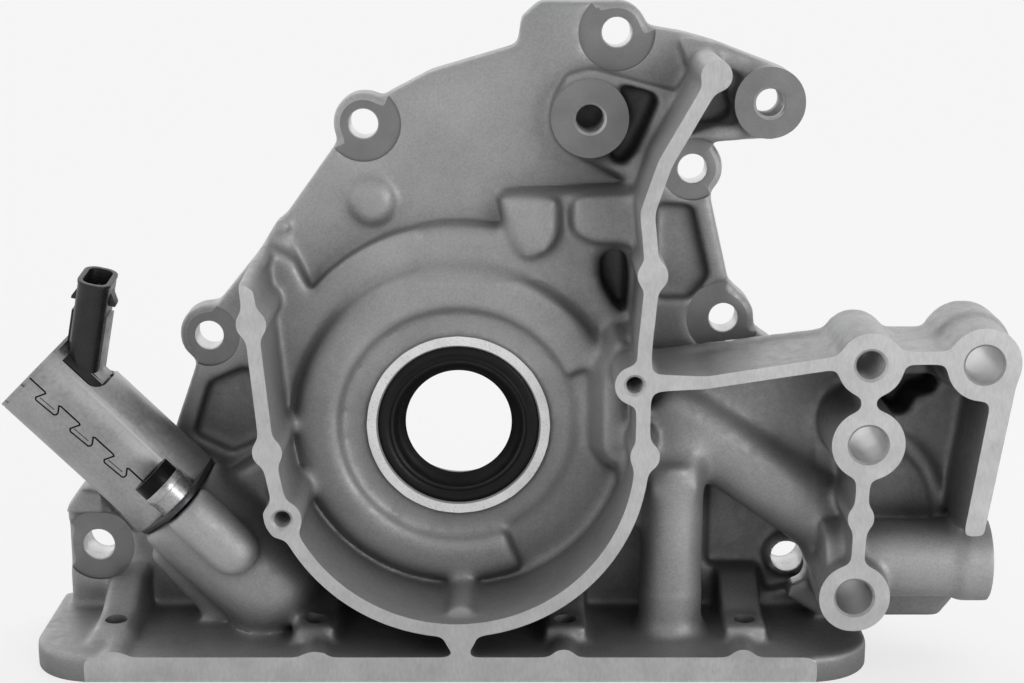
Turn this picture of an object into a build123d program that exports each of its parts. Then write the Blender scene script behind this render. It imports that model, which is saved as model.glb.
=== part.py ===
from build123d import *
from math import cos, pi, radians, sin
import os

os.makedirs("parts", exist_ok=True)

# The crank axis is the Y axis and the block face is Y = 0. The front of the pump looks to -Y, so a
# "height" below is a distance in front of the block face. X is to the right and Z is up, seen from
# the front. All sizes are in millimetres.

# Heights of the casting's levels
plate_height = 11.5
spot_height = 10.0
panel_height = 7.0
floor_height = 19.5
crescent_height = 24.5
collar_height = 22.0
front_height = 54.0
bracket_height = 25.0

# Oil pan flange along the bottom
flange_left, flange_right = -130.5, 126.5
flange_top, flange_bottom = -63.4, -71.4
flange_corner = 20.0
pan_bolt_x = (-106.0, -44.0, 33.0, 88.5)
pan_bolt_height = 36.0
pan_thread_r = 3.4
pan_column_width = 13.0

# Bolt holes through the ears, and the two ears that hold dowel sleeves
ear_places = ((48.2, 119.8), (-28.7, 92.2), (71.9, 78.4), (82.5, 31.7), (-78.1, 26.0))
dowel_places = ((-116.0, -43.0), (104.7, -46.6))
ear_r = 9.4
ear_hole_r = 4.5
spot_r = 11.6
dowel_hole_r = 5.0
dowel_r, dowel_bore_r = 6.3, 6.5
dowel_depth = 5.0
dowel_length = 9.0
dowel_wall = 1.0
dowel_neck, dowel_neck_r = 0.3, 6.0

# Timing cover rib and its bosses
rib_r = 54.9
rib_thickness = 4.2
pad_r = 4.6
rib_boss_r = 6.0
rib_thread_r = 2.5
rib_thread_depth = 16.0
thread_lead_r = 3.2
rib_boss_places = ((-51.5, -19.9), (52.4, 21.2))

# Accessory bracket on the right
bracket_bolt_r = 5.5
m10_thread_r = 4.25
lug_place, nut_place = (153.9, 27.4), (120.9, 27.2)
middle_place, lower_place = (121.2, 3.2), (119.0, -44.4)
lug_r, nut_r, middle_r, lower_r = 11.0, 9.8, 10.9, 10.7
bracket_back = 20.0
high_boss, side_boss = (40.0, 94.8), (94.2, 99.2)
high_boss_height, side_boss_height = 20.0, 17.0
high_boss_r, side_boss_r = 11.8, 10.9

# Rotor set
inner_lobes = 9
eccentricity = 3.0
lobe_r = 8.0
lobe_centre_r = 35.5
flank_gap = 0.06
rotor_width = 9.0
rotor_end_gap = 0.05
outer_rotor_r = 38.2
pocket_gap = 0.06
crank_r = 21.5
key_width, key_depth = 5.0, 1.2
hub_r = 24.2
hub_gap = 0.1

# Rear cover
cover_r = 55.0
cover_gap = 0.15
cover_thickness = 3.5
cover_screw_r = 50.5
cover_screw_count = 8
screw_shank_r = 2.5
screw_head_r = 4.4
screw_length = 11.0
screw_drive_r = 1.5

# Crank seal
seal_r = 25.0
seal_width = 6.7
seal_floor = 15.0
lip_r = 16.5
annulus_r = 35.5
collar_r = 28.1

# Oil passages
kidney_depth = 4.5
kidney_inner_r, kidney_outer_r = 25.5, 33.5
gallery_inner_r, gallery_outer_r = 42.6, 46.4
suction_x, suction_height = 66.0, 29.0
suction_way_z, suction_way_width = -19.0, 11.0
suction_tube_r, suction_bore_r = 9.8, 8.0
feed_tube_r, feed_bore_r = 13.0, 5.5

# Relief valve in the sideways tube
relief_z, relief_height = -38.0, 36.0
relief_seat_x, relief_mouth_x = 134.0, 161.5
relief_tube_r, relief_collar_r, relief_bore_r = 12.0, 13.2, 7.0
plunger_gap = 0.04
plunger_length = 12.0
plunger_floor = 4.0
plunger_wall = 1.8
relief_wire_r = 0.7
relief_turns = 6
plug_r = 8.0
plug_head_r = 10.0
plug_head = 2.3
washer_thickness = 1.2

# Solenoid valve: its axis falls to the right at 45 degrees
valve_x, valve_z, valve_height = -128.3, 19.8, 26.0
valve_angle = 45.0
can_r, can_wall, can_length = 15.5, 1.2, 57.4
can_gap = 0.8
mount_thickness = 1.6
screw_side, screw_up = 21.2, 6.8
tube_r, tube_wall = 7.0, 0.7
armature_gap = 0.1
armature_length = 20.0
pin_r = 1.6
socket_r, socket_bore_r, socket_length = 16.8, 8.1, 41.0
sleeve_r, sleeve_length = 8.0, 33.0
spool_r, spool_gap = 4.5, 0.04
spool_length = 22.0
spool_travel = 2.5
oring_wire = 1.1


def face_at(height):
    """Sketch plane parallel to the block face, at this height in front of it."""
    return Plane.XZ.offset(height)


def radial_plane(angle):
    """Plane through the crank axis: local x is the radius, local y points to the engine."""
    a = radians(angle)
    return Plane(origin=(0, 0, 0), x_dir=(cos(a), 0, sin(a)), z_dir=(-sin(a), 0, cos(a)))


def tube_plane(start, end):
    """Plane at the start of a straight run, facing along it. Points are (x, z, height)."""
    p, q = Vector(start[0], -start[2], start[1]), Vector(end[0], -end[2], end[1])
    return Plane(origin=p, z_dir=q - p)


def run_length(start, end):
    """Length of a straight run between two (x, z, height) points."""
    return (Vector(end[0], end[2], end[1]) - Vector(start[0], start[2], start[1])).length


# Solenoid axis: local z runs from the back of the can into the housing, local x looks to the front
# and local y points down and left
fall = radians(valve_angle)
valve_plane = Plane(origin=(valve_x, -valve_height, valve_z), x_dir=(0, -1, 0),
                    z_dir=(cos(fall), 0, -sin(fall)))
mount_start = can_length
socket_start = can_length + mount_thickness
screw_place = (screw_side, -screw_up)
screw_boss_r, screw_boss_length = 8.2, 22.0


def valve_at(distance):
    """Sketch plane across the solenoid axis at this distance from the back of the can."""
    return valve_plane.offset(distance)


chamber_floor = cover_thickness + rotor_width + rotor_end_gap
pocket_r = outer_rotor_r + pocket_gap
recess_r = cover_r + cover_gap
body_r = recess_r + 3.3
relief_thread_end = relief_mouth_x - plug_head - washer_thickness
gallery_floor = floor_height - 3.5
feed_start, feed_end = (46.0, 9.5, 10.5), (112.0, -28.0, 20.0)

# Housing: one aluminium die casting with the plate, chamber, rib, bracket and flange
with BuildPart() as housing:
    # Mounting plate with its ears
    with BuildSketch(Plane.XZ):
        with BuildLine():
            Polyline((18.3, 115.8), (19.4, 124), (25, 129), (50, 129), (57.4, 121.5), (68.7, 119.6),
                     (78, 117), (97.7, 109.5), (104.5, 97), (90, 88.3), (78, 88.3), (77.6, 69.9),
                     (83.8, 43.6), (92, 34), (92.4, 28), (100.8, 22), (108, 0), (117, -35),
                     (117, flange_top), (-125.4, flange_top), (-125.4, -30), (-120, -22.5),
                     (-112.5, -23.5), (-108.5, -33), (-104, -38.5), (-97, -36), (-89.9, -3.8),
                     (-82.1, 17.8), (-76, 35), (-58.8, 56.2), (-37.1, 86.3), (-21.7, 100.9),
                     (-8.2, 108), (1.4, 110.8), close=True)
        make_face()
        with Locations(*ear_places):
            Circle(ear_r)
        with Locations(side_boss):
            Circle(side_boss_r)
    extrude(amount=plate_height)

    # Chamber floor inside the timing cover rib
    with BuildSketch(Plane.XZ):
        with BuildLine():
            left_edge = Polyline((-52, 56), (-55, 63), (-61.8, 51), (-60.8, 39.4), (-57.4, 0.8),
                                 (-55.6, -19))
            bottom = ThreePointArc(left_edge @ 1, (0, -body_r), (body_r, 0))
            right_edge = Polyline(bottom @ 1, (58, 74), (12, 72), (15.2, 60.6))
            ThreePointArc(right_edge @ 1, (-13, 61.1), (-45.4, 41.5))
            Line((-45.4, 41.5), (-52, 56))
        make_face()
    extrude(amount=floor_height)

    # Blocks between the chamber and the right-hand rib
    with BuildSketch(Plane.XZ):
        with BuildLine():
            Polyline((12, 72), (31, 72), (31, 60), (27.4, 54.5), (20, 52), (15, 60), close=True)
        make_face()
        with BuildLine():
            Polyline((34.5, 72), (56, 73), (56, 58), (49, 57), (42, 57), (34.5, 61), close=True)
        make_face()
    extrude(amount=crescent_height + 1.0)
    with BuildSketch(face_at(floor_height - 1)):
        with BuildLine():
            Polyline((39.5, 22), (46, 33), (55, 33), (56, -10), (52, -14.5), (45, -14.5), (39.9, -7), close=True)
        make_face()
    extrude(amount=13, taper=20)

    # Raised oil gallery round the seal, rounded in section
    crescent_start, crescent_sweep = -67.0, 268.0
    with BuildSketch(radial_plane(crescent_start)):
        with BuildLine():
            Polyline((annulus_r + 0.8, -floor_height + 1), (annulus_r + 1.8, -crescent_height),
                     (rib_r - 5.5, -crescent_height), (rib_r - 3.2, -floor_height + 1), close=True)
        make_face()
    revolve(axis=Axis.Y, revolution_arc=crescent_sweep)

    # Seal annulus and turned collar
    with BuildSketch(face_at(floor_height - 1)):
        Circle(annulus_r)
    extrude(amount=2.0)
    with BuildSketch(face_at(floor_height)):
        Circle(collar_r)
    extrude(amount=collar_height - floor_height)

    # Web and boss platform at the upper right
    with BuildSketch(Plane.XZ):
        with BuildLine():
            Polyline((29, 100), (33, 107.5), (40, 109.5), (66, 102.5), (72, 112), (70, 96), (56, 73),
                     (38, 82.5), (30, 88), close=True)
        make_face()
    extrude(amount=high_boss_height - 2.5)
    with BuildSketch(Plane.XZ):
        with Locations(high_boss):
            Circle(high_boss_r)
    extrude(amount=high_boss_height)
    with BuildSketch(Plane.XZ):
        with Locations(side_boss):
            Circle(side_boss_r)
    extrude(amount=side_boss_height)
    with BuildSketch(Plane.XZ):
        with BuildLine():
            Polyline((66, 119), (78, 117), (98, 109.3), (96, 103), (76, 111.5), (70, 108), close=True)
        make_face()
        with BuildLine():
            Polyline((62, 84), (66, 88), (78, 92.5), (90, 92), (96, 91), (92, 88), (78, 87), close=True)
        make_face()
    extrude(amount=side_boss_height - 2.0)

    # Timing cover rib with its ejector pads and threaded bosses
    with BuildSketch(face_at(panel_height)):
        with BuildLine():
            rib_left = Polyline((-53.2, 62.5), (-60.1, 51.2), (-58.8, 39.4), (-55.3, 0.8), (-51.5, -19.0))
            rib_bottom = ThreePointArc(rib_left @ 1, (0, -rib_r), (rib_r, -0.5))
            Polyline(rib_bottom @ 1, (55.1, 32), (57.1, 53.8), (55.2, 72), (59.9, 85.9), (74, 110.9))
        trace(line_width=rib_thickness)
        with Locations((-58.8, 39.4), (-55.3, 0.8), (1.0, -57.5), (55.7, -0.4), (57.1, 53.8), (74, 110.9)):
            Circle(pad_r)
        with Locations(*rib_boss_places):
            Circle(rib_boss_r)
        with Locations((55.2, 72), (59.9, 85.9)):
            Circle(rib_thickness / 2)
    extrude(amount=front_height - panel_height)

    # The left end of the rib falls to the plate as a ramp
    ramp_top, ramp_foot = Vector(-59.8, -front_height, 50.6), Vector(-56.9, -plate_height - 1.5, 56.1)
    ramp_run = ramp_foot - ramp_top
    with BuildSketch(Plane(origin=ramp_top, x_dir=ramp_run, z_dir=ramp_run.cross(Vector(-0.86, 0, 0.5)))):
        with Locations((ramp_run.length / 2, 0)):
            Rectangle(ramp_run.length, 20)
    extrude(amount=20, mode=Mode.SUBTRACT)

    # Neck between the rib and the pan flange, and the half-round column inside it
    with BuildSketch(Plane.XZ):
        with Locations((1.0, (flange_top - rib_r) / 2)):
            Rectangle(4.8, abs(flange_top + rib_r) + 2)
    extrude(amount=front_height)
    with BuildSketch(face_at(panel_height)):
        with Locations((1.0, -rib_r)):
            Circle(pad_r + 0.8)
    extrude(amount=front_height - panel_height - 6)

    # Pan flange with rounded front corners
    with BuildSketch(Plane.XY.offset(flange_bottom)) as flange_plan:
        with BuildLine():
            Polyline((flange_left, 0), (flange_right, 0), (flange_right, -front_height),
                     (flange_left, -front_height), close=True)
        make_face()
        fillet(flange_plan.vertices().group_by(Axis.Y)[0], flange_corner)
    extrude(amount=flange_top - flange_bottom)

    # Pan bolt columns, sloping down to the front, and the half-round pads along the front edge
    for x in pan_bolt_x:
        with BuildSketch(Plane.YZ.offset(x - pan_column_width / 2)):
            with BuildLine():
                Polyline((-panel_height, flange_top - 1), (-44, flange_top - 1), (-42.5, -58), (-30, -58),
                         (-panel_height, -46), close=True)
            make_face()
        extrude(amount=pan_column_width)
        with BuildSketch(face_at(front_height - 16)):
            with Locations((x * 0.975, flange_top - 1.6)):
                Circle(pad_r - 0.3)
        extrude(amount=16)

    # Accessory bracket: back wall, walls, webs and bolt bosses
    with BuildSketch(face_at(bracket_back)):
        with BuildLine():
            Polyline((57, 24), (112, 31), (146, 31), (164, 24), (156, -26), (158.5, -52), (151, -62),
                     (119, -62), (110, -45), (90, -10), (60, -4), close=True)
        make_face()
    extrude(amount=bracket_height - bracket_back)
    with BuildSketch(face_at(bracket_back)):
        with BuildLine():
            Polyline((52, 19), (73, 20.2), (113, 26.4), (113, 30.4), (73, 24), (52, 25), close=True)
        make_face()
        with BuildLine():
            Polyline((120, 27.5), (147, 27.5), (147, 31.5), (120, 31.5), close=True)
        make_face()
        with BuildLine():
            Polyline((157, 22), (163.5, 22), (156.5, -25), (150.5, -25), close=True)
        make_face()
        with BuildLine():
            Polyline((119, 27), (123, 27), (121.2, -44), (117.2, -44), close=True)
        make_face()
        with Locations((119.9, -19.5)):
            Circle(pad_r - 0.4)
        with Locations(lug_place):
            Circle(lug_r)
        with Locations(nut_place):
            Circle(nut_r)
        with Locations(middle_place):
            Circle(middle_r)
    extrude(amount=front_height - bracket_back)
    with BuildSketch(face_at(bracket_back)):
        with Locations(lug_place):
            Circle(lug_r + 1.4)
    extrude(amount=front_height - bracket_back - 17)
    with BuildSketch(Plane.XZ):
        with Locations(lower_place):
            Circle(lower_r)
    extrude(amount=front_height)
    with BuildSketch(Plane.XZ):
        with BuildLine():
            Polyline((103, -56), (112, -30), (126, -36), (128, flange_top + 2), (112, flange_top + 2),
                     close=True)
        make_face()
    extrude(amount=bracket_back + 4)

    # Sideways tube for the relief valve, with its collar
    with BuildSketch(Plane.YZ.offset(lower_place[0] - 8)):
        with Locations((-relief_height, relief_z)):
            Circle(relief_tube_r)
    extrude(amount=relief_mouth_x - 6 - lower_place[0] + 8)
    with BuildSketch(Plane.YZ.offset(relief_mouth_x - 9)):
        with Locations((-relief_height, relief_z)):
            Circle(relief_collar_r)
    extrude(amount=9)

    # Feed tube that falls to the right, and the upright suction tube
    with BuildSketch(tube_plane((60, 9, 18), (118, -31, 21))):
        Circle(feed_tube_r)
    extrude(amount=run_length((60, 9, 18), (118, -31, 21)))
    with BuildSketch(Plane.XY.offset(flange_top - 1)):
        with Locations((suction_x, -suction_height)):
            Circle(suction_tube_r)
    extrude(amount=56)
    with BuildSketch(Plane.XY.offset(flange_top - 1)):
        with Locations((suction_x, -suction_height)):
            Circle(suction_tube_r + 2)
    extrude(amount=4, taper=20)
    with BuildSketch(Plane.XZ):
        with BuildLine():
            Polyline((50, -2), (74, -2), (76, -30), (50, -30), close=True)
        make_face()
    extrude(amount=suction_height + 2)

    with BuildSketch(Plane.YZ.offset(suction_x - suction_tube_r + 1.5)):
        with BuildLine():
            Polyline((-18, 6), (-29, 5), (-suction_height - suction_tube_r + 0.5, -15),
                     (-suction_height - suction_tube_r + 1, -18), (-18, -18), close=True)
        make_face()
    extrude(amount=2 * suction_tube_r - 3)

    # Valve socket with the boss of the fixing screw beside it
    with BuildSketch(valve_at(socket_start)):
        Circle(socket_r)
    extrude(amount=socket_length)
    with BuildSketch(valve_at(socket_start)):
        with Locations(screw_place):
            Circle(screw_boss_r)
        with Locations((screw_side / 2, -screw_up / 2)):
            Rectangle(screw_side, screw_boss_r * 1.6, rotation=-18)
    extrude(amount=screw_boss_length)
    with BuildSketch(Plane.XZ):
        with BuildLine():
            Polyline((-98, -42), (-86, -26), (-58, -8), (-52, -22), (-42, -42), (-50, flange_top),
                     (-80, flange_top), close=True)
        make_face()
    extrude(amount=valve_height)
    with BuildSketch(Plane.XZ):
        with Locations((0, flange_bottom - 20)):
            Rectangle(400, 40)
    extrude(amount=front_height + 20, mode=Mode.SUBTRACT)

    # Raised pad above the lower left ear, and the domed ejector mark
    with BuildSketch(Plane.XZ):
        with BuildLine():
            Polyline((-125.4, -31), (-120, -22.5), (-112.5, -23.5), (-109, -31.5), close=True)
        make_face()
    extrude(amount=plate_height + 4)
    with BuildSketch(Plane.XZ):
        with Locations((-27.0, 68.8)):
            Circle(6.4)
    extrude(amount=plate_height + 3, taper=6)

    # Spot faces of the ears
    with BuildSketch(face_at(spot_height)):
        with Locations(*ear_places[:2], ear_places[3], dowel_places[0]):
            Circle(spot_r)
        with Locations(ear_places[2], ear_places[4]):
            Circle(ear_r)
    extrude(amount=5, mode=Mode.SUBTRACT)

    # Recessed panels beside the ears
    with BuildSketch(face_at(panel_height)):
        with BuildLine():
            Polyline((61, 68), (72, 67), (77.5, 45), (72, 38), (61, 38), close=True)
        make_face()
        with BuildLine():
            Polyline((-84, -6), (-78.5, 11), (-68, 15.5), (-61, 14), (-59, -6), (-72, -12), close=True)
        make_face()
        with BuildLine():
            Polyline((79, -18), (82, -18.5), (107, -34), (110, -56), (98, -59), (95.5, -50), (79, -50),
                     close=True)
        make_face()
    extrude(amount=8, mode=Mode.SUBTRACT)

    # Deep pockets between the bosses and the rib
    with BuildSketch(face_at(4.5)):
        with BuildLine():
            Polyline((47.5, 104), (50, 104.5), (60, 102), (60.5, 99), (54, 84), (50, 80), (45.5, 83),
                     (52.5, 94), close=True)
        make_face()
        with BuildLine():
            Polyline((66, 91), (75, 104), (81, 104.5), (83, 98), (83.5, 95.5), (79, 92.5), close=True)
        make_face()
        with BuildLine():
            Polyline((43.5, 53.5), (51.5, 55), (52.6, 45), (51.7, 34.5), (48, 37), (44, 44), close=True)
        make_face()
    extrude(amount=30, mode=Mode.SUBTRACT)

    # Rear recess for the cover, rotor pocket and crank opening
    with BuildSketch(Plane.XZ):
        Circle(recess_r)
    extrude(amount=cover_thickness, mode=Mode.SUBTRACT)
    with BuildSketch(Plane.XZ):
        with Locations((0, eccentricity)):
            Circle(pocket_r)
    extrude(amount=chamber_floor, mode=Mode.SUBTRACT)
    with BuildSketch(Plane.XZ):
        Circle(crank_r + 1.5)
    extrude(amount=floor_height, mode=Mode.SUBTRACT)
    with BuildSketch(face_at(seal_floor)):
        Circle(seal_r)
    extrude(amount=collar_height, mode=Mode.SUBTRACT)
    with BuildSketch(face_at(cover_thickness)):
        with PolarLocations(cover_screw_r, cover_screw_count, start_angle=22.5):
            Circle(screw_shank_r)
    extrude(amount=screw_length, mode=Mode.SUBTRACT)

    # Kidney ports in the chamber floor: suction on the right, pressure on the left
    for middle in (0.0, 180.0):
        with BuildSketch(radial_plane(middle - 66.0)):
            with BuildLine():
                Polyline((kidney_inner_r, -chamber_floor + 0.5), (kidney_outer_r, -chamber_floor + 0.5),
                         (kidney_outer_r, -chamber_floor - kidney_depth),
                         (kidney_inner_r, -chamber_floor - kidney_depth), close=True)
            make_face()
        revolve(axis=Axis.Y, revolution_arc=-132.0, mode=Mode.SUBTRACT)

    # Pressure gallery under the raised crescent, open to the rear cover
    with BuildSketch(radial_plane(-115.0)):
        with BuildLine():
            Polyline((gallery_inner_r, -cover_thickness + 0.5), (gallery_outer_r, -cover_thickness + 0.5),
                     (gallery_outer_r, -gallery_floor), (gallery_inner_r, -gallery_floor), close=True)
        make_face()
    revolve(axis=Axis.Y, revolution_arc=232.0, mode=Mode.SUBTRACT)
    with BuildSketch(face_at(chamber_floor + 0.5)):
        with Locations((-(kidney_outer_r + gallery_inner_r) / 2, 0)):
            Rectangle(gallery_inner_r - kidney_outer_r + 4, 18)
    extrude(amount=kidney_depth - 0.5, mode=Mode.SUBTRACT)

    # Suction way from the kidney to the upright tube, and its bore to the pan
    with BuildSketch(face_at(chamber_floor + 0.5)):
        with Locations(((kidney_outer_r + suction_x) / 2, suction_way_z)):
            Rectangle(suction_x - kidney_outer_r + 8, suction_way_width)
    extrude(amount=kidney_depth - 0.5, mode=Mode.SUBTRACT)
    with BuildSketch(Plane.XY.offset(flange_bottom)):
        with Locations((suction_x, -suction_height)):
            Circle(suction_bore_r)
    extrude(amount=-flange_bottom - 8, mode=Mode.SUBTRACT)
    with BuildSketch(face_at(chamber_floor + 0.5)):
        with Locations((suction_x, suction_way_z)):
            Rectangle(12, suction_way_width)
    extrude(amount=suction_height - chamber_floor, mode=Mode.SUBTRACT)

    # Feed bore to the block port and on to the relief valve
    with BuildSketch(tube_plane(feed_start, feed_end)):
        Circle(feed_bore_r)
    extrude(amount=run_length(feed_start, feed_end), mode=Mode.SUBTRACT)
    with BuildSketch(Plane.XZ):
        with Locations((98, -19)):
            Circle(feed_bore_r)
    extrude(amount=18, mode=Mode.SUBTRACT)
    with BuildSketch(tube_plane((110, -26.5, 20), (relief_seat_x + 1, relief_z, relief_height))):
        Circle(3.2)
    extrude(amount=run_length((110, -26.5, 20), (relief_seat_x, relief_z, relief_height)), mode=Mode.SUBTRACT)

    # Relief valve bore, drain, thread and counterbore
    with BuildSketch(Plane.YZ.offset(relief_seat_x)):
        with Locations((-relief_height, relief_z)):
            Circle(relief_bore_r)
    extrude(amount=relief_mouth_x - relief_seat_x, mode=Mode.SUBTRACT)
    with BuildSketch(Plane.YZ.offset(relief_thread_end - 7.5)):
        with Locations((-relief_height, relief_z)):
            Circle(plug_r)
    extrude(amount=20, mode=Mode.SUBTRACT)
    with BuildSketch(Plane.YZ.offset(relief_thread_end)):
        with Locations((-relief_height, relief_z)):
            Circle(plug_head_r + 0.2)
    extrude(amount=20, mode=Mode.SUBTRACT)
    with BuildSketch(Plane.XY.offset(relief_z)):
        with Locations((relief_seat_x + 7, -relief_height)):
            Circle(2.6)
    extrude(amount=-30, mode=Mode.SUBTRACT)

    # Clearance round the solenoid can, then the socket bore, screw thread and control passage
    with BuildSketch(valve_at(0)):
        Circle(can_r + can_gap)
    extrude(amount=socket_start, mode=Mode.SUBTRACT)
    with BuildSketch(valve_at(socket_start)):
        Circle(socket_bore_r)
    extrude(amount=sleeve_length + 3, mode=Mode.SUBTRACT)
    with BuildSketch(valve_at(socket_start)):
        with Locations(screw_place):
            Circle(3.4)
    extrude(amount=screw_boss_length - 5, mode=Mode.SUBTRACT)
    with BuildSketch(tube_plane((-66, -44, valve_height), (-37, -26, 14))):
        Circle(2.2)
    extrude(amount=run_length((-66, -44, valve_height), (-37, -26, 14)), mode=Mode.SUBTRACT)

    # Bolt holes, dowel bores and threads
    with BuildSketch(Plane.XZ):
        with Locations(*ear_places):
            Circle(ear_hole_r)
        with Locations(*dowel_places):
            Circle(dowel_hole_r)
    extrude(amount=plate_height + 20, mode=Mode.SUBTRACT)
    with BuildSketch(Plane.XZ):
        with Locations(*dowel_places):
            Circle(dowel_bore_r)
    extrude(amount=dowel_depth, mode=Mode.SUBTRACT)
    with BuildSketch(face_at(front_height)):
        with Locations(*rib_boss_places):
            Circle(rib_thread_r)
    extrude(amount=-rib_thread_depth, mode=Mode.SUBTRACT)
    with BuildSketch(face_at(front_height)):
        with Locations(*rib_boss_places):
            Circle(thread_lead_r)
    extrude(amount=-2.0, mode=Mode.SUBTRACT)
    with BuildSketch(Plane.XZ):
        with Locations(lug_place, middle_place, lower_place):
            Circle(bracket_bolt_r)
        with Locations(nut_place, side_boss):
            Circle(m10_thread_r)
    extrude(amount=front_height + 2, mode=Mode.SUBTRACT)
    with BuildSketch(face_at(high_boss_height)):
        with Locations(high_boss):
            Circle(m10_thread_r)
    extrude(amount=-15.0, mode=Mode.SUBTRACT)
    for x in pan_bolt_x:
        with BuildSketch(Plane.XY.offset(flange_bottom)):
            with Locations((x, -pan_bolt_height)):
                Circle(pan_thread_r)
        extrude(amount=22, mode=Mode.SUBTRACT)

    # Lightening pockets behind the plate
    with BuildSketch(Plane.XZ):
        with BuildLine():
            Polyline((-18, 92), (12, 103), (26, 107), (26, 84), (10, 76), (-8, 72), (-30, 66), (-42, 70),
                     (-34, 80), close=True)
        make_face()
        with BuildLine():
            Polyline((-68, 36), (-64, 42), (-63, 20), (-66, 16), close=True)
        make_face()
    extrude(amount=5.0, mode=Mode.SUBTRACT)
housing.part.label = "housing"
export_step(housing.part, "parts/housing.step")

# Inner rotor: its lobes are the path of the outer lobe centres, drawn in by the lobe radius
ring_count = inner_lobes + 1
flank = []
flank_steps = inner_lobes * 14
for step in range(flank_steps):
    t = 2 * pi * step / flank_steps
    px = lobe_centre_r * cos(t) + eccentricity * cos(ring_count * t)
    py = lobe_centre_r * sin(t) + eccentricity * sin(ring_count * t)
    dx = -lobe_centre_r * sin(t) - eccentricity * ring_count * sin(ring_count * t)
    dy = lobe_centre_r * cos(t) + eccentricity * ring_count * cos(ring_count * t)
    speed = (dx * dx + dy * dy) ** 0.5
    inset = (lobe_r + flank_gap) / speed
    # The first lobe points up, toward the centre of the outer rotor
    flank.append((-(py + dx * inset), px - dy * inset))

rotor_start = cover_thickness + rotor_end_gap / 2
with BuildPart() as inner_rotor:
    with BuildSketch(face_at(rotor_start)):
        with BuildLine():
            Spline(*flank, periodic=True)
        make_face()
    extrude(amount=rotor_width)
    with BuildSketch(Plane.XZ):
        Circle(hub_r)
    extrude(amount=rotor_start + 1)
    with BuildSketch(Plane.XZ):
        Circle(crank_r)
        Rectangle(2 * (crank_r + key_depth), key_width)
    extrude(amount=rotor_start + rotor_width, mode=Mode.SUBTRACT)
inner_rotor.part.label = "inner_rotor"
export_step(inner_rotor.part, "parts/inner_rotor.step")

with BuildPart() as outer_rotor:
    with BuildSketch(face_at(rotor_start)):
        with Locations((0, eccentricity)):
            Circle(outer_rotor_r)
            Circle(lobe_centre_r + 2 * eccentricity - lobe_r + 0.2, mode=Mode.SUBTRACT)
    extrude(amount=rotor_width)
    with BuildSketch(face_at(rotor_start)):
        with Locations((0, eccentricity)):
            with PolarLocations(lobe_centre_r, ring_count, start_angle=90):
                Circle(lobe_r)
        with Locations((0, eccentricity)):
            Circle(outer_rotor_r - 1, mode=Mode.INTERSECT)
    extrude(amount=rotor_width)
    round_edges = outer_rotor.edges().filter_by(GeomType.CIRCLE)
    chamfer(round_edges.filter_by(lambda e: e.radius > outer_rotor_r - 0.01), 0.5)
outer_rotor.part.label = "outer_rotor"
export_step(outer_rotor.part, "parts/outer_rotor.step")

# Rear cover plate with its countersunk screws
with BuildPart() as rear_cover:
    with BuildSketch(face_at(rotor_end_gap)):
        Circle(cover_r)
        Circle(hub_r + hub_gap, mode=Mode.SUBTRACT)
        with PolarLocations(cover_screw_r, cover_screw_count, start_angle=22.5):
            Circle(screw_shank_r + 0.2, mode=Mode.SUBTRACT)
    extrude(amount=cover_thickness - rotor_end_gap)
    with BuildSketch(face_at(rotor_end_gap)):
        with PolarLocations(cover_screw_r, cover_screw_count, start_angle=22.5):
            Circle(screw_head_r)
    extrude(amount=screw_head_r - screw_shank_r - 0.2, taper=45, mode=Mode.SUBTRACT)
rear_cover.part.label = "rear_cover"
export_step(rear_cover.part, "parts/rear_cover.step")

with BuildPart() as cover_screws:
    with BuildSketch(face_at(rotor_end_gap)):
        with PolarLocations(cover_screw_r, cover_screw_count, start_angle=22.5):
            Circle(screw_head_r - 0.05)
    extrude(amount=screw_head_r - screw_shank_r - 0.05, taper=45)
    with BuildSketch(face_at(1.0)):
        with PolarLocations(cover_screw_r, cover_screw_count, start_angle=22.5):
            Circle(screw_shank_r)
    extrude(amount=screw_length)
    with BuildSketch(face_at(rotor_end_gap)):
        with PolarLocations(cover_screw_r, cover_screw_count, start_angle=22.5):
            RegularPolygon(screw_drive_r, 6)
    extrude(amount=1.8, mode=Mode.SUBTRACT)
cover_screws.part.label = "cover_screws"
export_step(cover_screws.part, "parts/cover_screws.step")

# Dowel sleeves: a seated end, a neck at the block face and a thinner end that stands out
with BuildPart() as dowel_sleeves:
    with BuildSketch(Plane.XZ):
        with Locations(*dowel_places):
            Circle(dowel_bore_r)
    extrude(amount=dowel_depth)
    with BuildSketch(face_at(dowel_depth - dowel_length)):
        with Locations(*dowel_places):
            Circle(dowel_neck_r)
    extrude(amount=dowel_length)
    with BuildSketch(face_at(dowel_depth - dowel_length)):
        with Locations(*dowel_places):
            Circle(dowel_r)
    extrude(amount=dowel_length - dowel_depth - dowel_neck)
    with BuildSketch(face_at(dowel_depth - dowel_length)):
        with Locations(*dowel_places):
            Circle(dowel_r - dowel_wall)
    extrude(amount=dowel_length, mode=Mode.SUBTRACT)
dowel_sleeves.part.label = "dowel_sleeves"
export_step(dowel_sleeves.part, "parts/dowel_sleeves.step")

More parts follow.
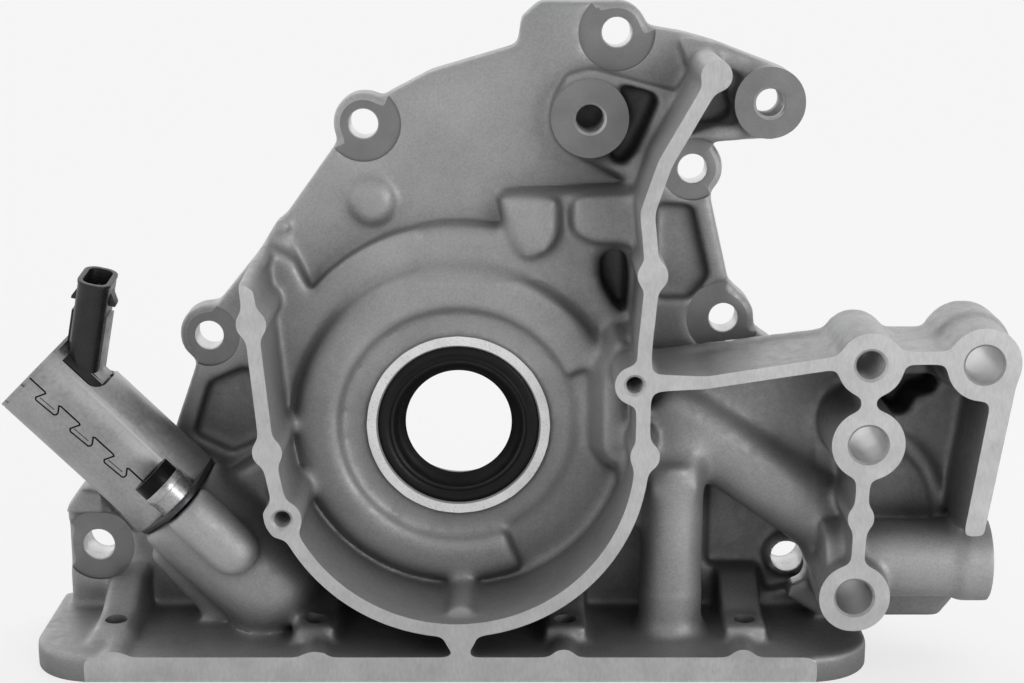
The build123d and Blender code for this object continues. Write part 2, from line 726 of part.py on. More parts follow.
# Crank seal: rubber body with its lip, the steel insert and the garter spring
seal_front = seal_floor + seal_width
garter_centre_r, garter_r, garter_height = lip_r + 3.2, 1.0, seal_floor + 2.2
insert_r = seal_r - 1.0
with BuildPart() as seal_body:
    with BuildSketch(Plane.XY):
        with BuildLine():
            Polyline((seal_r, -seal_floor), (seal_r, -seal_front), (20.6, -seal_front),
                     (20.2, -seal_front + 1.2), (lip_r + 1.6, -seal_floor - 3.6),
                     (lip_r, -seal_floor - 2.2), (lip_r + 0.8, -seal_floor - 1.0),
                     (lip_r + 2.2, -seal_floor - 0.6), (lip_r + 2.2, -seal_floor - 2.9),
                     (20.8, -seal_front + 2.6), (seal_r - 2.2, -seal_front + 2.6),
                     (seal_r - 2.2, -seal_floor), close=True)
        make_face()
    revolve(axis=Axis.Y)
    with BuildSketch(Plane.XY) as insert_section:
        with BuildLine():
            Polyline((insert_r, -seal_floor - 0.5), (insert_r, -seal_front + 0.8),
                     (21.4, -seal_front + 0.8), (21.4, -seal_front + 1.8),
                     (insert_r - 0.8, -seal_front + 1.8), (insert_r - 0.8, -seal_floor - 0.5), close=True)
        make_face()
    revolve(axis=Axis.Y, mode=Mode.SUBTRACT)
seal_body.part.label = "seal_body"
export_step(seal_body.part, "parts/seal_body.step")

with BuildPart() as seal_insert:
    add(insert_section.sketch)
    revolve(axis=Axis.Y)
seal_insert.part.label = "seal_insert"
export_step(seal_insert.part, "parts/seal_insert.step")

with BuildPart() as garter_spring:
    with BuildSketch(Plane.XY):
        with Locations((garter_centre_r + 0.05, -garter_height + 0.3)):
            Circle(garter_r)
    revolve(axis=Axis.Y)
garter_spring.part.label = "garter_spring"
export_step(garter_spring.part, "parts/garter_spring.step")

# Relief valve: plunger, spring, plug and washer
plunger_r = relief_bore_r - plunger_gap
with BuildPart() as relief_plunger:
    with BuildSketch(Plane.YZ.offset(relief_seat_x)):
        with Locations((-relief_height, relief_z)):
            Circle(plunger_r)
    extrude(amount=plunger_length)
    with BuildSketch(Plane.YZ.offset(relief_seat_x + plunger_floor)):
        with Locations((-relief_height, relief_z)):
            Circle(plunger_r - plunger_wall)
    extrude(amount=plunger_length, mode=Mode.SUBTRACT)
relief_plunger.part.label = "relief_plunger"
export_step(relief_plunger.part, "parts/relief_plunger.step")

plug_inner_x = relief_thread_end - 7.5
relief_spring_start = relief_seat_x + plunger_floor + relief_wire_r
relief_spring_length = plug_inner_x - relief_wire_r - relief_spring_start
relief_spring_r = plunger_r - plunger_wall - relief_wire_r - 0.3
with BuildPart() as relief_spring:
    with BuildLine():
        coil = Helix(relief_spring_length / relief_turns, relief_spring_length, relief_spring_r,
                     center=(relief_spring_start, -relief_height, relief_z), direction=(1, 0, 0))
    with BuildSketch(Plane(origin=coil @ 0, z_dir=coil % 0)):
        Circle(relief_wire_r)
    sweep(path=coil, is_frenet=True)
relief_spring.part.label = "relief_spring"
export_step(relief_spring.part, "parts/relief_spring.step")

with BuildPart() as relief_plug:
    with BuildSketch(Plane.YZ.offset(plug_inner_x)):
        with Locations((-relief_height, relief_z)):
            Circle(plug_r)
    extrude(amount=7.5 + washer_thickness)
    with BuildSketch(Plane.YZ.offset(relief_thread_end + washer_thickness)):
        with Locations((-relief_height, relief_z)):
            Circle(plug_head_r)
    extrude(amount=plug_head)
    with BuildSketch(Plane.YZ.offset(relief_mouth_x)):
        with Locations((-relief_height, relief_z)):
            RegularPolygon(4.6, 6)
    extrude(amount=-6.0, mode=Mode.SUBTRACT)
relief_plug.part.label = "relief_plug"
export_step(relief_plug.part, "parts/relief_plug.step")

with BuildPart() as plug_washer:
    with BuildSketch(Plane.YZ.offset(relief_thread_end)):
        with Locations((-relief_height, relief_z)):
            Circle(plug_head_r)
            Circle(plug_r + 0.05, mode=Mode.SUBTRACT)
    extrude(amount=washer_thickness)
plug_washer.part.label = "plug_washer"
export_step(plug_washer.part, "parts/plug_washer.step")

# Solenoid can: rolled steel with a slot for the connector
can_inner_r = can_r - can_wall
slot_width, slot_end, slot_corner_r = 22.4, 18.2, 4.0
with BuildPart() as solenoid_can:
    with BuildSketch(valve_at(0)):
        Circle(can_r)
        Circle(can_inner_r - 1.5, mode=Mode.SUBTRACT)
    extrude(amount=0.9)
    with BuildSketch(valve_at(0.9)):
        Circle(can_r)
        Circle(can_inner_r, mode=Mode.SUBTRACT)
    extrude(amount=can_length - 0.9)
    with BuildSketch(Plane(origin=valve_plane.origin, x_dir=valve_plane.x_dir, z_dir=-valve_plane.y_dir)):
        RectangleRounded(slot_width, 2 * slot_end, slot_corner_r)
    extrude(amount=can_r + 1, mode=Mode.SUBTRACT)
solenoid_can.part.label = "solenoid_can"
export_step(solenoid_can.part, "parts/solenoid_can.step")

guide_r = tube_r + tube_wall
with BuildPart() as end_plate:
    with BuildSketch(valve_at(0.9)):
        Circle(can_inner_r - 0.05)
        Circle(guide_r + 0.05, mode=Mode.SUBTRACT)
    extrude(amount=3.1)
end_plate.part.label = "end_plate"
export_step(end_plate.part, "parts/end_plate.step")

pole_start = 36.0
with BuildPart() as guide_tube:
    with BuildSketch(valve_at(1.5)):
        Circle(guide_r)
    extrude(amount=50.5)
    with BuildSketch(valve_at(1.5 + tube_wall)):
        Circle(tube_r)
    extrude(amount=60, mode=Mode.SUBTRACT)
guide_tube.part.label = "guide_tube"
export_step(guide_tube.part, "parts/guide_tube.step")

with BuildPart() as pole_core:
    with BuildSketch(valve_at(pole_start)):
        Circle(tube_r)
    extrude(amount=can_length - pole_start)
    with BuildSketch(valve_at(can_length - 3.5)):
        Circle(can_inner_r - 0.05)
    extrude(amount=3.5)
    with BuildSketch(valve_at(pole_start)):
        Circle(pin_r + 0.2)
    extrude(amount=can_length - pole_start, mode=Mode.SUBTRACT)
pole_core.part.label = "pole_core"
export_step(pole_core.part, "parts/pole_core.step")

armature_start = pole_start - spool_travel - 0.6 - armature_length
spool_start = socket_start + 3.0
with BuildPart() as armature:
    with BuildSketch(valve_at(armature_start)):
        Circle(tube_r - armature_gap)
    extrude(amount=armature_length)
    with BuildSketch(valve_at(armature_start)):
        Circle(pin_r)
    extrude(amount=spool_start - armature_start)
armature.part.label = "armature"
export_step(armature.part, "parts/armature.step")

bobbin_start, bobbin_end = 4.0, can_length - 3.5
bobbin_r = can_inner_r - 0.9
with BuildPart() as coil_bobbin:
    with BuildSketch(valve_at(bobbin_start)):
        Circle(guide_r + 1.0)
        Circle(guide_r + 0.05, mode=Mode.SUBTRACT)
    extrude(amount=bobbin_end - bobbin_start)
    for end in (bobbin_start, bobbin_end - 2.0):
        with BuildSketch(valve_at(end)):
            Circle(bobbin_r)
            Circle(guide_r + 0.05, mode=Mode.SUBTRACT)
        extrude(amount=2.0)
coil_bobbin.part.label = "coil_bobbin"
export_step(coil_bobbin.part, "parts/coil_bobbin.step")

with BuildPart() as coil_winding:
    with BuildSketch(valve_at(bobbin_start + 2.0)):
        Circle(bobbin_r - 0.5)
        Circle(guide_r + 1.0, mode=Mode.SUBTRACT)
    extrude(amount=bobbin_end - bobbin_start - 4.0)
coil_winding.part.label = "coil_winding"
export_step(coil_winding.part, "parts/coil_winding.step")

# Connector: a deep two-pin shroud that stands out of the can, leaning to the right and to the front
connector_lean, connector_nod = radians(12.3), radians(8.0)
connector_height = 40.0
connector_width, connector_depth, connector_wall, connector_corner = 9.8, 16.0, 1.3, 4.0
latch_low, latch_lip, latch_high, latch_reach = 32.2, 33.0, 36.5, 1.8
terminal_gap, terminal_size = 6.4, (0.64, 2.8)
connector_plane = Plane(origin=(-116.0, -24.2, 10.0),
                        x_dir=(cos(connector_lean), 0, -sin(connector_lean)),
                        z_dir=(sin(connector_lean) * cos(connector_nod), -sin(connector_nod),
                               cos(connector_lean) * cos(connector_nod)))
latch_plane = Plane(origin=connector_plane.origin, x_dir=connector_plane.x_dir, z_dir=-connector_plane.y_dir)
with BuildPart() as connector_body:
    with BuildSketch(connector_plane):
        RectangleRounded(connector_width, connector_depth, connector_corner)
    extrude(amount=connector_height)
    with BuildSketch(connector_plane.offset(connector_height - 0.8)):
        RectangleRounded(connector_width + 0.4, connector_depth + 0.4, connector_corner + 0.2)
    extrude(amount=0.8)
    # Latch wedges and ribs on the two narrow sides
    side = connector_width / 2
    with BuildSketch(latch_plane):
        with BuildLine():
            Polyline((side - 0.6, latch_low), (side + latch_reach, latch_low), (side + latch_reach, latch_lip),
                     (side, latch_high), (side - 0.6, latch_high), close=True)
        make_face()
        mirror(about=Plane.YZ)
    extrude(amount=2.0, both=True)
    with BuildSketch(connector_plane):
        Rectangle(connector_width + 1.8, 6.0)
    extrude(amount=connector_height - 11)
    # Moulding that closes the slot just under the can's wall
    with BuildSketch(valve_at(bobbin_start + 0.1)):
        Circle(can_inner_r - 0.1)
        with Locations((0, -can_inner_r)):
            Rectangle(slot_width - 3.4, can_inner_r, mode=Mode.INTERSECT)
    extrude(amount=slot_end - bobbin_start - 0.8)
    with BuildSketch(valve_at(-20)):
        Circle(bobbin_r + 0.05)
    extrude(amount=80, mode=Mode.SUBTRACT)
    with BuildSketch(valve_at(-20)):
        Circle(can_inner_r + 0.05)
    extrude(amount=20 + bobbin_start + 0.1, mode=Mode.SUBTRACT)
    with BuildSketch(connector_plane.offset(connector_height)):
        RectangleRounded(connector_width - 2 * connector_wall, connector_depth - 2 * connector_wall,
                         connector_corner - connector_wall)
    extrude(amount=-14, mode=Mode.SUBTRACT)
    with BuildSketch(connector_plane.offset(connector_height - 20)):
        with GridLocations(0, terminal_gap, 1, 2):
            Rectangle(*terminal_size)
    extrude(amount=7, mode=Mode.SUBTRACT)
connector_body.part.label = "connector_body"
export_step(connector_body.part, "parts/connector_body.step")

with BuildPart() as terminals:
    with BuildSketch(connector_plane.offset(connector_height - 20)):
        with GridLocations(0, terminal_gap, 1, 2):
            Rectangle(*terminal_size)
    extrude(amount=16)
terminals.part.label = "terminals"
export_step(terminals.part, "parts/terminals.step")

# Mounting flange of the valve with its cap screw and bush
mount_screw_r = 7.3
with BuildPart() as valve_flange:
    with BuildSketch(valve_at(mount_start)):
        Circle(can_r)
        with Locations(screw_place):
            Circle(mount_screw_r)
        make_hull()
        Circle(sleeve_r + 0.02, mode=Mode.SUBTRACT)
        with Locations(screw_place):
            Circle(4.2, mode=Mode.SUBTRACT)
    extrude(amount=mount_thickness)
valve_flange.part.label = "valve_flange"
export_step(valve_flange.part, "parts/valve_flange.step")

bush_length, bush_r, fixing_head_r, fixing_head = 7.2, 6.4, 6.4, 4.4
bush_collar_r, bush_collar = 6.7, 2.6
with BuildPart() as screw_bush:
    with BuildSketch(valve_at(mount_start - bush_length)):
        with Locations(screw_place):
            Circle(bush_r)
    extrude(amount=bush_length)
    with BuildSketch(valve_at(mount_start - bush_length)):
        with Locations(screw_place):
            Circle(bush_collar_r)
    extrude(amount=bush_collar)
    with BuildSketch(valve_at(mount_start - bush_length)):
        with Locations(screw_place):
            Circle(4.2)
    extrude(amount=bush_length, mode=Mode.SUBTRACT)
screw_bush.part.label = "screw_bush"
export_step(screw_bush.part, "parts/screw_bush.step")

with BuildPart() as fixing_screw:
    with BuildSketch(valve_at(mount_start - bush_length - fixing_head)):
        with Locations(screw_place):
            Circle(fixing_head_r)
    extrude(amount=fixing_head)
    with BuildSketch(valve_at(mount_start - bush_length)):
        with Locations(screw_place):
            Circle(4.0)
    extrude(amount=bush_length + mount_thickness)
    with BuildSketch(valve_at(socket_start)):
        with Locations(screw_place):
            Circle(3.4)
    extrude(amount=screw_boss_length - 8)
    with BuildSketch(valve_at(mount_start - bush_length - fixing_head)):
        with Locations(screw_place):
            RegularPolygon(3.46, 6)
    extrude(amount=2.8, mode=Mode.SUBTRACT)
fixing_screw.part.label = "fixing_screw"
export_step(fixing_screw.part, "parts/fixing_screw.step")

# Valve sleeve with ports and ring grooves
ring_places = (socket_start + 3.5, socket_start + 17.0)
groove_width = 2 * oring_wire + 0.3
oring_r = socket_bore_r - oring_wire - 0.01
spool_end = spool_start + spool_length
with BuildPart() as valve_sleeve:
    with BuildSketch(valve_at(mount_start)):
        Circle(sleeve_r)
    extrude(amount=mount_thickness + sleeve_length)
    with BuildSketch(valve_at(mount_start)):
        Circle(spool_r)
    extrude(amount=mount_thickness + sleeve_length - 2.0, mode=Mode.SUBTRACT)
    with BuildSketch(valve_at(mount_start)):
        Circle(2.0)
    extrude(amount=mount_thickness + sleeve_length, mode=Mode.SUBTRACT)
    for place in ring_places:
        with BuildSketch(valve_at(place - groove_width / 2)):
            Circle(sleeve_r + 1)
            Circle(oring_r - oring_wire - 0.01, mode=Mode.SUBTRACT)
        extrude(amount=groove_width, mode=Mode.SUBTRACT)
    with BuildSketch(valve_at(socket_start + 6.5)):
        Circle(sleeve_r + 1)
        Circle(sleeve_r - 0.5, mode=Mode.SUBTRACT)
    extrude(amount=7, mode=Mode.SUBTRACT)
    for distance in (socket_start + 10.0, socket_start + 23.0):
        centre = valve_at(distance)
        for direction in (centre.x_dir, centre.y_dir):
            with BuildSketch(Plane(origin=centre.origin - direction * (sleeve_r + 1), z_dir=direction)):
                Circle(1.6)
            extrude(amount=2 * sleeve_r + 2, mode=Mode.SUBTRACT)
valve_sleeve.part.label = "valve_sleeve"
export_step(valve_sleeve.part, "parts/valve_sleeve.step")

with BuildPart() as filter_screen:
    with BuildSketch(valve_at(socket_start + 6.6)):
        Circle(sleeve_r - 0.02)
        Circle(sleeve_r - 0.48, mode=Mode.SUBTRACT)
    extrude(amount=6.8)
filter_screen.part.label = "filter_screen"
export_step(filter_screen.part, "parts/filter_screen.step")

with BuildPart() as valve_rings:
    for place in ring_places:
        ring_middle = valve_at(place).origin
        with BuildSketch(Plane(origin=ring_middle, x_dir=valve_plane.x_dir, z_dir=valve_plane.y_dir)):
            with Locations((oring_r, 0)):
                Circle(oring_wire)
        revolve(axis=Axis(valve_plane.origin, valve_plane.z_dir))
valve_rings.part.label = "valve_rings"
export_step(valve_rings.part, "parts/valve_rings.step")

with BuildPart() as valve_spool:
    with BuildSketch(valve_at(spool_start)):
        Circle(spool_r - spool_gap)
    extrude(amount=spool_length)
    for start in (spool_start + 4.0, spool_start + 12.0):
        with BuildSketch(valve_at(start)):
            Circle(spool_r + 1)
            Circle(spool_r - 1.8, mode=Mode.SUBTRACT)
        extrude(amount=4.0, mode=Mode.SUBTRACT)
valve_spool.part.label = "valve_spool"
export_step(valve_spool.part, "parts/valve_spool.step")

valve_wire_r, valve_turns = 0.45, 5
valve_spring_start = spool_end + valve_wire_r
valve_spring_length = socket_start + sleeve_length - 2.0 - valve_wire_r - valve_spring_start
with BuildPart() as valve_spring:
    with BuildLine():
        valve_coil = Helix(valve_spring_length / valve_turns, valve_spring_length, spool_r - 1.2,
                           center=valve_at(valve_spring_start).origin, direction=valve_plane.z_dir)
    with BuildSketch(Plane(origin=valve_coil @ 0, z_dir=valve_coil % 0)):
        Circle(valve_wire_r)
    sweep(path=valve_coil, is_frenet=True)
valve_spring.part.label = "valve_spring"
export_step(valve_spring.part, "parts/valve_spring.step")
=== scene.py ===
"""Engine oil pump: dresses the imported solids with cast, machined, rubber and plastic finishes."""

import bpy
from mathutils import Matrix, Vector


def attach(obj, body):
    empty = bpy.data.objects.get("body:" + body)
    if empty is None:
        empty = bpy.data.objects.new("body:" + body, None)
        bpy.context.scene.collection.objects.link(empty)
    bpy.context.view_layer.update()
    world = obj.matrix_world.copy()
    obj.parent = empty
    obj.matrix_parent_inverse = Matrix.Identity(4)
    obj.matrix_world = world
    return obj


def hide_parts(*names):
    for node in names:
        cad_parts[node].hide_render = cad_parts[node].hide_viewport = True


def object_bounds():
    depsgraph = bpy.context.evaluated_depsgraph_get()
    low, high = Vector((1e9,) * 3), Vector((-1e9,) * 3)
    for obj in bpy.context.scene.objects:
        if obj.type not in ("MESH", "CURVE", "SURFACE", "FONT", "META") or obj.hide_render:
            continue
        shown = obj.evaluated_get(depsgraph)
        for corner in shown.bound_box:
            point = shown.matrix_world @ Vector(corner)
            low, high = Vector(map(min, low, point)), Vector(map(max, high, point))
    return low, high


bl_info = {
    "name": "Engine Oil Pump",
    "version": (1, 0, 0),
    "blender": (4, 5, 0),
    "location": "View3D > Sidebar > Oil Pump",
    "description": "Builds the detailed pieces of a crank-driven engine oil pump over its packed solids",
    "category": "Object",
}

from math import atan2, cos, pi, radians, sin

import bmesh
import bpy
import numpy as np
from bpy.props import FloatProperty, FloatVectorProperty, PointerProperty
from mathutils import Matrix, Vector

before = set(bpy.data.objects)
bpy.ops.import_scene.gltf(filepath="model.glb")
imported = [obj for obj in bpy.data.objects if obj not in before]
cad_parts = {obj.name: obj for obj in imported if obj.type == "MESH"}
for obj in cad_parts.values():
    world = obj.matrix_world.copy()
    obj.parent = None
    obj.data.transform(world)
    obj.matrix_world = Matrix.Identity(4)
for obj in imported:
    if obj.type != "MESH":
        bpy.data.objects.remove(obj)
cad_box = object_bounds()

MM = 0.001
TO_FRONT, TO_BACK, TO_RIGHT = Vector((0, -1, 0)), Vector((0, 1, 0)), Vector((1, 0, 0))
UP, DOWN = Vector((0, 0, 1)), Vector((0, 0, -1))

# Places and levels of the casting, in millimetres. A height is a distance in front of the block face.
FRONT = 54.0
SPOT = 10.0
COLLAR, COLLAR_R = 22.0, 28.1
EARS = ((48.2, 119.8), (-28.7, 92.2), (71.9, 78.4), (82.5, 31.7), (-78.1, 26.0))
WIDE_EARS = (EARS[0], EARS[1], EARS[3])
DOWELS = ((-116.0, -43.0), (104.7, -46.6))
EAR_R, EAR_HOLE_R, SPOT_R = 9.4, 4.5, 11.6
DOWEL_HOLE_R, DOWEL_SEAT_R, DOWEL_DEPTH = 5.0, 6.5, 5.0
DOWEL_SPOTS = ((SPOT, SPOT_R), (11.3, 7.5))
BRACKET_BOLTS = ((153.9, 27.4), (121.2, 3.2), (119.0, -44.4))
BRACKET_NUT, SIDE_BOSS, HIGH_BOSS = (120.9, 27.2), (94.2, 99.2), (40.0, 94.8)
BRACKET_BOLT_R, BRACKET_THREAD_R = 5.5, 4.25
SIDE_BOSS_HEIGHT, HIGH_BOSS_HEIGHT = 17.0, 20.0
SIDE_BOSS_R, HIGH_BOSS_R = 10.9, 11.8
RIB_BOSSES = ((-51.5, -19.9), (52.4, 21.2))
RIB_THREAD_R, RIB_THREAD_DEPTH = 2.5, 16.0
PAN_FACE = -71.4
PAN_BOLT_X, PAN_BOLT_HEIGHT, PAN_THREAD_R = (-106.0, -44.0, 33.0, 88.5), 36.0, 3.4

# Rear of the casting
COVER_SEAT_R, COVER_SEAT = 55.15, 3.5
POCKET_R, POCKET_FLOOR, POCKET_RISE = 38.26, 12.55, 3.0

# Crank seal
SEAL_R, SEAL_SEAT, SEAL_FACE, LIP_R = 25.0, 15.0, 21.7, 16.5
CRANK_HOLE_R = 23.0

# Relief valve tube
RELIEF_Z, RELIEF_HEIGHT, RELIEF_MOUTH = -38.0, 36.0, 161.5
RELIEF_SEAT, RELIEF_THREAD, RELIEF_COUNTERBORE = 134.0, 150.5, 158.0
RELIEF_R, PLUG_R, PLUG_HEAD_R, RELIEF_TUBE_R = 7.0, 8.0, 10.2, 16.0

# Suction bore
SUCTION_X, SUCTION_HEIGHT, SUCTION_R, SUCTION_TOP = 66.0, 29.0, 8.0, -14.0

# Solenoid valve: its axis falls to the right at 45 degrees
VALVE_ORIGIN = Vector((-128.3, -26.0, 19.8))
VALVE_AXIS = Vector((1, 0, -1)).normalized()
VALVE_LOW = Vector((-1, 0, -1)).normalized()
CAN_R, CAN_LENGTH, CAN_ROOM = 15.5, 57.4, 0.8
VALVE_BORE_R, VALVE_BORE_START = 8.1, 58
SCREW_SIDE, SCREW_UP = 21.2, 6.8
SCREW_BOSS_R, SCREW_BOSS_END = 8.2, 81.0
SOCKET_R, SOCKET_END = 16.8, 100.0

# Connector: its own axis stands on the can, leaning to the right and nodding to the front
CONNECTOR_FOOT = Vector((-116.0, -24.2, 10.0))
CONNECTOR_LEAN, CONNECTOR_NOD = radians(12.3), radians(8.0)
CONNECTOR_SIDE = Vector((cos(CONNECTOR_LEAN), 0, -sin(CONNECTOR_LEAN)))
CONNECTOR_AXIS = Vector((sin(CONNECTOR_LEAN) * cos(CONNECTOR_NOD), -sin(CONNECTOR_NOD),
                         cos(CONNECTOR_LEAN) * cos(CONNECTOR_NOD)))

# Ejector mark, and the recess and the curved ridge in the bracket's back wall, as (x, z) points
MARK, MARK_R = (-26.4, 68.7), 7.2
RECESS = ((129.1, 13.5), (134.2, 16.2), (140.7, 16.9), (145.9, 17.1), (147.4, 14.8), (146.2, 11.5), (141.7, 10.8),
          (139.8, 9.4), (138.0, 5.3), (134.8, 4.4), (132.7, 6.0), (129.3, 9.4))
RECESS_WALL = ((124, 20), (150, 21), (151, 8), (143, 4), (141, 1), (131, 1), (124, 6))
RECESS_FLOOR, BRACKET_WALL = 9.0, 25.0
RIDGE = ((131.0, -0.5), (134.9, -2.6), (140.4, -6.7), (144.6, -11.5), (147.5, -17.7), (149.2, -23.9), (149.6, -30.0))
RIDGE_R, RIDGE_SUNK = 3.0, 0.8

# The block beside the gallery rises as a slope: (x, height) points, and the z where it starts and ends
BLOCK_SLOPE = ((9, 19.6), (27, 25.8), (27, 34), (9, 34))
BLOCK_SLOPE_LOW, BLOCK_SLOPE_HIGH = 52.5, 73

# Floor, lamp and world light: each lobe is (axis, end of the axis, strength)
FLOOR_SIZE, FLOOR_GLOW = 8, 0.7
LAMP_PLACE, LAMP_TARGET, LAMP_SIZE = (0.75, -0.85, 0.25), (0, 0, 0.03), 0.5
WORLD_LIGHT, WORLD_LOBES = 0.4, (("X", 1, 0.35), ("X", -1, 0.5), ("Y", 1, 0.9))

# Camera: place in metres, tilt downward, lens and sensor in millimetres
CAMERA_PLACE, CAMERA_TILT = (0.016606, -0.592533, 0.163769), radians(13.5)
CAMERA_LENS, CAMERA_SENSOR = 67.3, 36.0


def at(x, height, z):
    """Place in metres from millimetres, the height being in front of the block face."""
    return Vector((x, -height, z)) * MM


def on_valve(distance, front=0.0, low=0.0):
    """Place in metres along the valve's axis, moved to the front and down."""
    return (VALVE_ORIGIN + VALVE_AXIS * distance + TO_FRONT * front + VALVE_LOW * low) * MM


def linked(name, data):
    """A new object in the scene with this mesh, lamp or camera."""
    obj = bpy.data.objects.new(name, data)
    bpy.context.scene.collection.objects.link(obj)
    return obj


def from_bmesh(name, bm, outward=True):
    """A new object from a bmesh, with its normals turned outward or left as they are."""
    if outward:
        bmesh.ops.recalc_face_normals(bm, faces=bm.faces)
    mesh = bpy.data.meshes.new(name)
    bm.to_mesh(mesh)
    bm.free()
    return linked(name, mesh)


def turned(name, profile, origin, axis, steps=96, ring=False):
    """Turned solid. The profile is (distance along the axis, radius) in millimetres."""
    turn = Vector(axis).to_track_quat("Z", "Y").to_matrix().to_4x4()
    place = Matrix.Translation(origin) @ turn @ Matrix.Scale(MM, 4)
    bm = bmesh.new()
    rows = []
    for along, radius in profile:
        if radius == 0:
            rows.append([bm.verts.new((0, 0, along))] * steps)
        else:
            rows.append([bm.verts.new((radius * cos(2 * pi * i / steps), radius * sin(2 * pi * i / steps), along))
                         for i in range(steps)])
    pairs = list(zip(rows, rows[1:]))
    if ring:
        pairs.append((rows[-1], rows[0]))
    for low, high in pairs:
        for i in range(steps):
            corners = [low[i], low[(i + 1) % steps], high[(i + 1) % steps], high[i]]
            distinct = [v for k, v in enumerate(corners) if v not in corners[:k]]
            bm.faces.new(distinct)
    bm.transform(place)
    return from_bmesh(name, bm)


def rod(name, start, end, radius, origin, axis, steps=96):
    """Plain cylinder between two distances along an axis, in millimetres."""
    return turned(name, [(start, 0), (start, radius), (end, radius), (end, 0)], origin, axis, steps)


def extruded(name, outline, start, end, place=None):
    """Solid between two heights. The outline is (x, z) points in millimetres."""
    bm = bmesh.new()
    face = bm.faces.new([bm.verts.new((x, -start, z)) for x, z in outline])
    moved = bmesh.ops.extrude_face_region(bm, geom=[face])
    bmesh.ops.translate(bm, verts=[v for v in moved["geom"] if isinstance(v, bmesh.types.BMVert)],
                        vec=(0, start - end, 0))
    bm.transform((place or Matrix.Identity(4)) @ Matrix.Scale(MM, 4))
    return from_bmesh(name, bm)


def block(name, low, high):
    """Box between two corners given as (x, height, z) in millimetres."""
    outline = [(low[0], low[2]), (high[0], low[2]), (high[0], high[2]), (low[0], high[2])]
    return extruded(name, outline, low[1], high[1])


def capsule(name, start, end, radius):
    """Rod with round ends between two places in metres. The radius is in millimetres."""
    length = (end - start).length / MM
    arc = [(radius * cos(radians(a)), radius * sin(radians(a))) for a in (0, 30, 60, 90)]
    profile = [(-x, y) for x, y in arc] + [(length + x, y) for x, y in reversed(arc)]
    profile[0], profile[-1] = (-radius, 0), (length + radius, 0)
    return turned(name, profile, start, end - start, steps=32)


def settled(obj):
    """Applies the object's modifiers to its mesh."""
    shaped = obj.evaluated_get(bpy.context.evaluated_depsgraph_get())
    mesh = bpy.data.meshes.new_from_object(shaped)
    old = obj.data
    obj.modifiers.clear()
    obj.data = mesh
    bpy.data.meshes.remove(old)
    return obj


def combined(obj, other, operation):
    """Cuts, adds or intersects another solid, which is then removed."""
    step = obj.modifiers.new("shape", "BOOLEAN")
    step.operation, step.solver, step.object = operation, "MANIFOLD", other
    before = len(obj.data.polygons)
    settled(obj)
    if not obj.data.polygons or (operation == "DIFFERENCE" and len(obj.data.polygons) == before):
        raise RuntimeError(f"{operation} of {other.name} with {obj.name} changed nothing")
    bpy.data.objects.remove(other)
    return obj


def cut(obj, tool):
    """Takes another solid away."""
    return combined(obj, tool, "DIFFERENCE")


def joined(name, objects):
    """One object with the meshes of several, which are then removed."""
    bm = bmesh.new()
    for obj in objects:
        bm.from_mesh(obj.data)
        bpy.data.objects.remove(obj)
    return from_bmesh(name, bm, outward=False)


def softened(obj, angle=32.0):
    """Shades the mesh smooth, with sharp edges where faces meet at more than this angle."""
    obj.data.shade_smooth()
    obj.data.set_sharp_from_angle(angle=radians(angle))
    return obj


def welded(node):
    """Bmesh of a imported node's mesh, with its doubled corners joined."""
    bm = bmesh.new()
    bm.from_mesh(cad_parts[node].data)
    bmesh.ops.remove_doubles(bm, verts=bm.verts, dist=0.002 * MM)
    return bm


def solid_copy(name, node):
    """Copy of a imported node's mesh, with its triangles joined to quads."""
    bm = welded(node)
    bmesh.ops.join_triangles(bm, faces=bm.faces, angle_face_threshold=radians(0.5), angle_shape_threshold=pi)
    return from_bmesh(name, bm)


def rounded(obj, width, segments=2, angle=28.0):
    """Breaks the sharp edges of a piece, as tumbling or moulding does. Width in millimetres."""
    bevel = obj.modifiers.new("broken edges", "BEVEL")
    bevel.width, bevel.segments = width * MM, segments
    bevel.limit_method, bevel.angle_limit = "ANGLE", radians(angle)
    bevel.miter_outer = "MITER_ARC"
    settled(obj)
    return softened(obj)


def dressed(obj, material, node):
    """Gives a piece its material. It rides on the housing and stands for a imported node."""
    if material:
        obj.data.materials.clear()
        obj.data.materials.append(material)
    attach(obj, "housing")
    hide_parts(node)
    return obj


def rounded_copy(name, node, width, material, segments=2):
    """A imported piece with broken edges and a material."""
    return dressed(rounded(solid_copy(name, node), width, segments), material, node)


def repainted(node, material):
    """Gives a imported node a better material."""
    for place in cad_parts[node].material_slots:
        place.link = "OBJECT"
        place.material = material


# Materials


def shader(name, colour, metallic, roughness):
    """A new material with plain values on its shader. Returns (material, nodes, links, shader)."""
    material = bpy.data.materials.new(name)
    material.use_nodes = True
    nodes, links = material.node_tree.nodes, material.node_tree.links
    principled = nodes["Principled BSDF"]
    principled.inputs["Base Color"].default_value = (*colour, 1)
    principled.inputs["Metallic"].default_value = metallic
    principled.inputs["Roughness"].default_value = roughness
    return material, nodes, links, principled


def noise(nodes, links, scale, detail=3.0, stretch=(1, 1, 1)):
    """Noise over the object's own coordinates. The scale is in features per millimetre."""
    place = nodes.new("ShaderNodeTexCoord")
    mapping = nodes.new("ShaderNodeMapping")
    mapping.inputs["Scale"].default_value = tuple(scale / MM * s for s in stretch)
    texture = nodes.new("ShaderNodeTexNoise")
    texture.inputs["Scale"].default_value = 1.0
    texture.inputs["Detail"].default_value = detail
    links.new(place.outputs["Object"], mapping.inputs["Vector"])
    links.new(mapping.outputs["Vector"], texture.inputs["Vector"])
    return texture.outputs["Fac"]


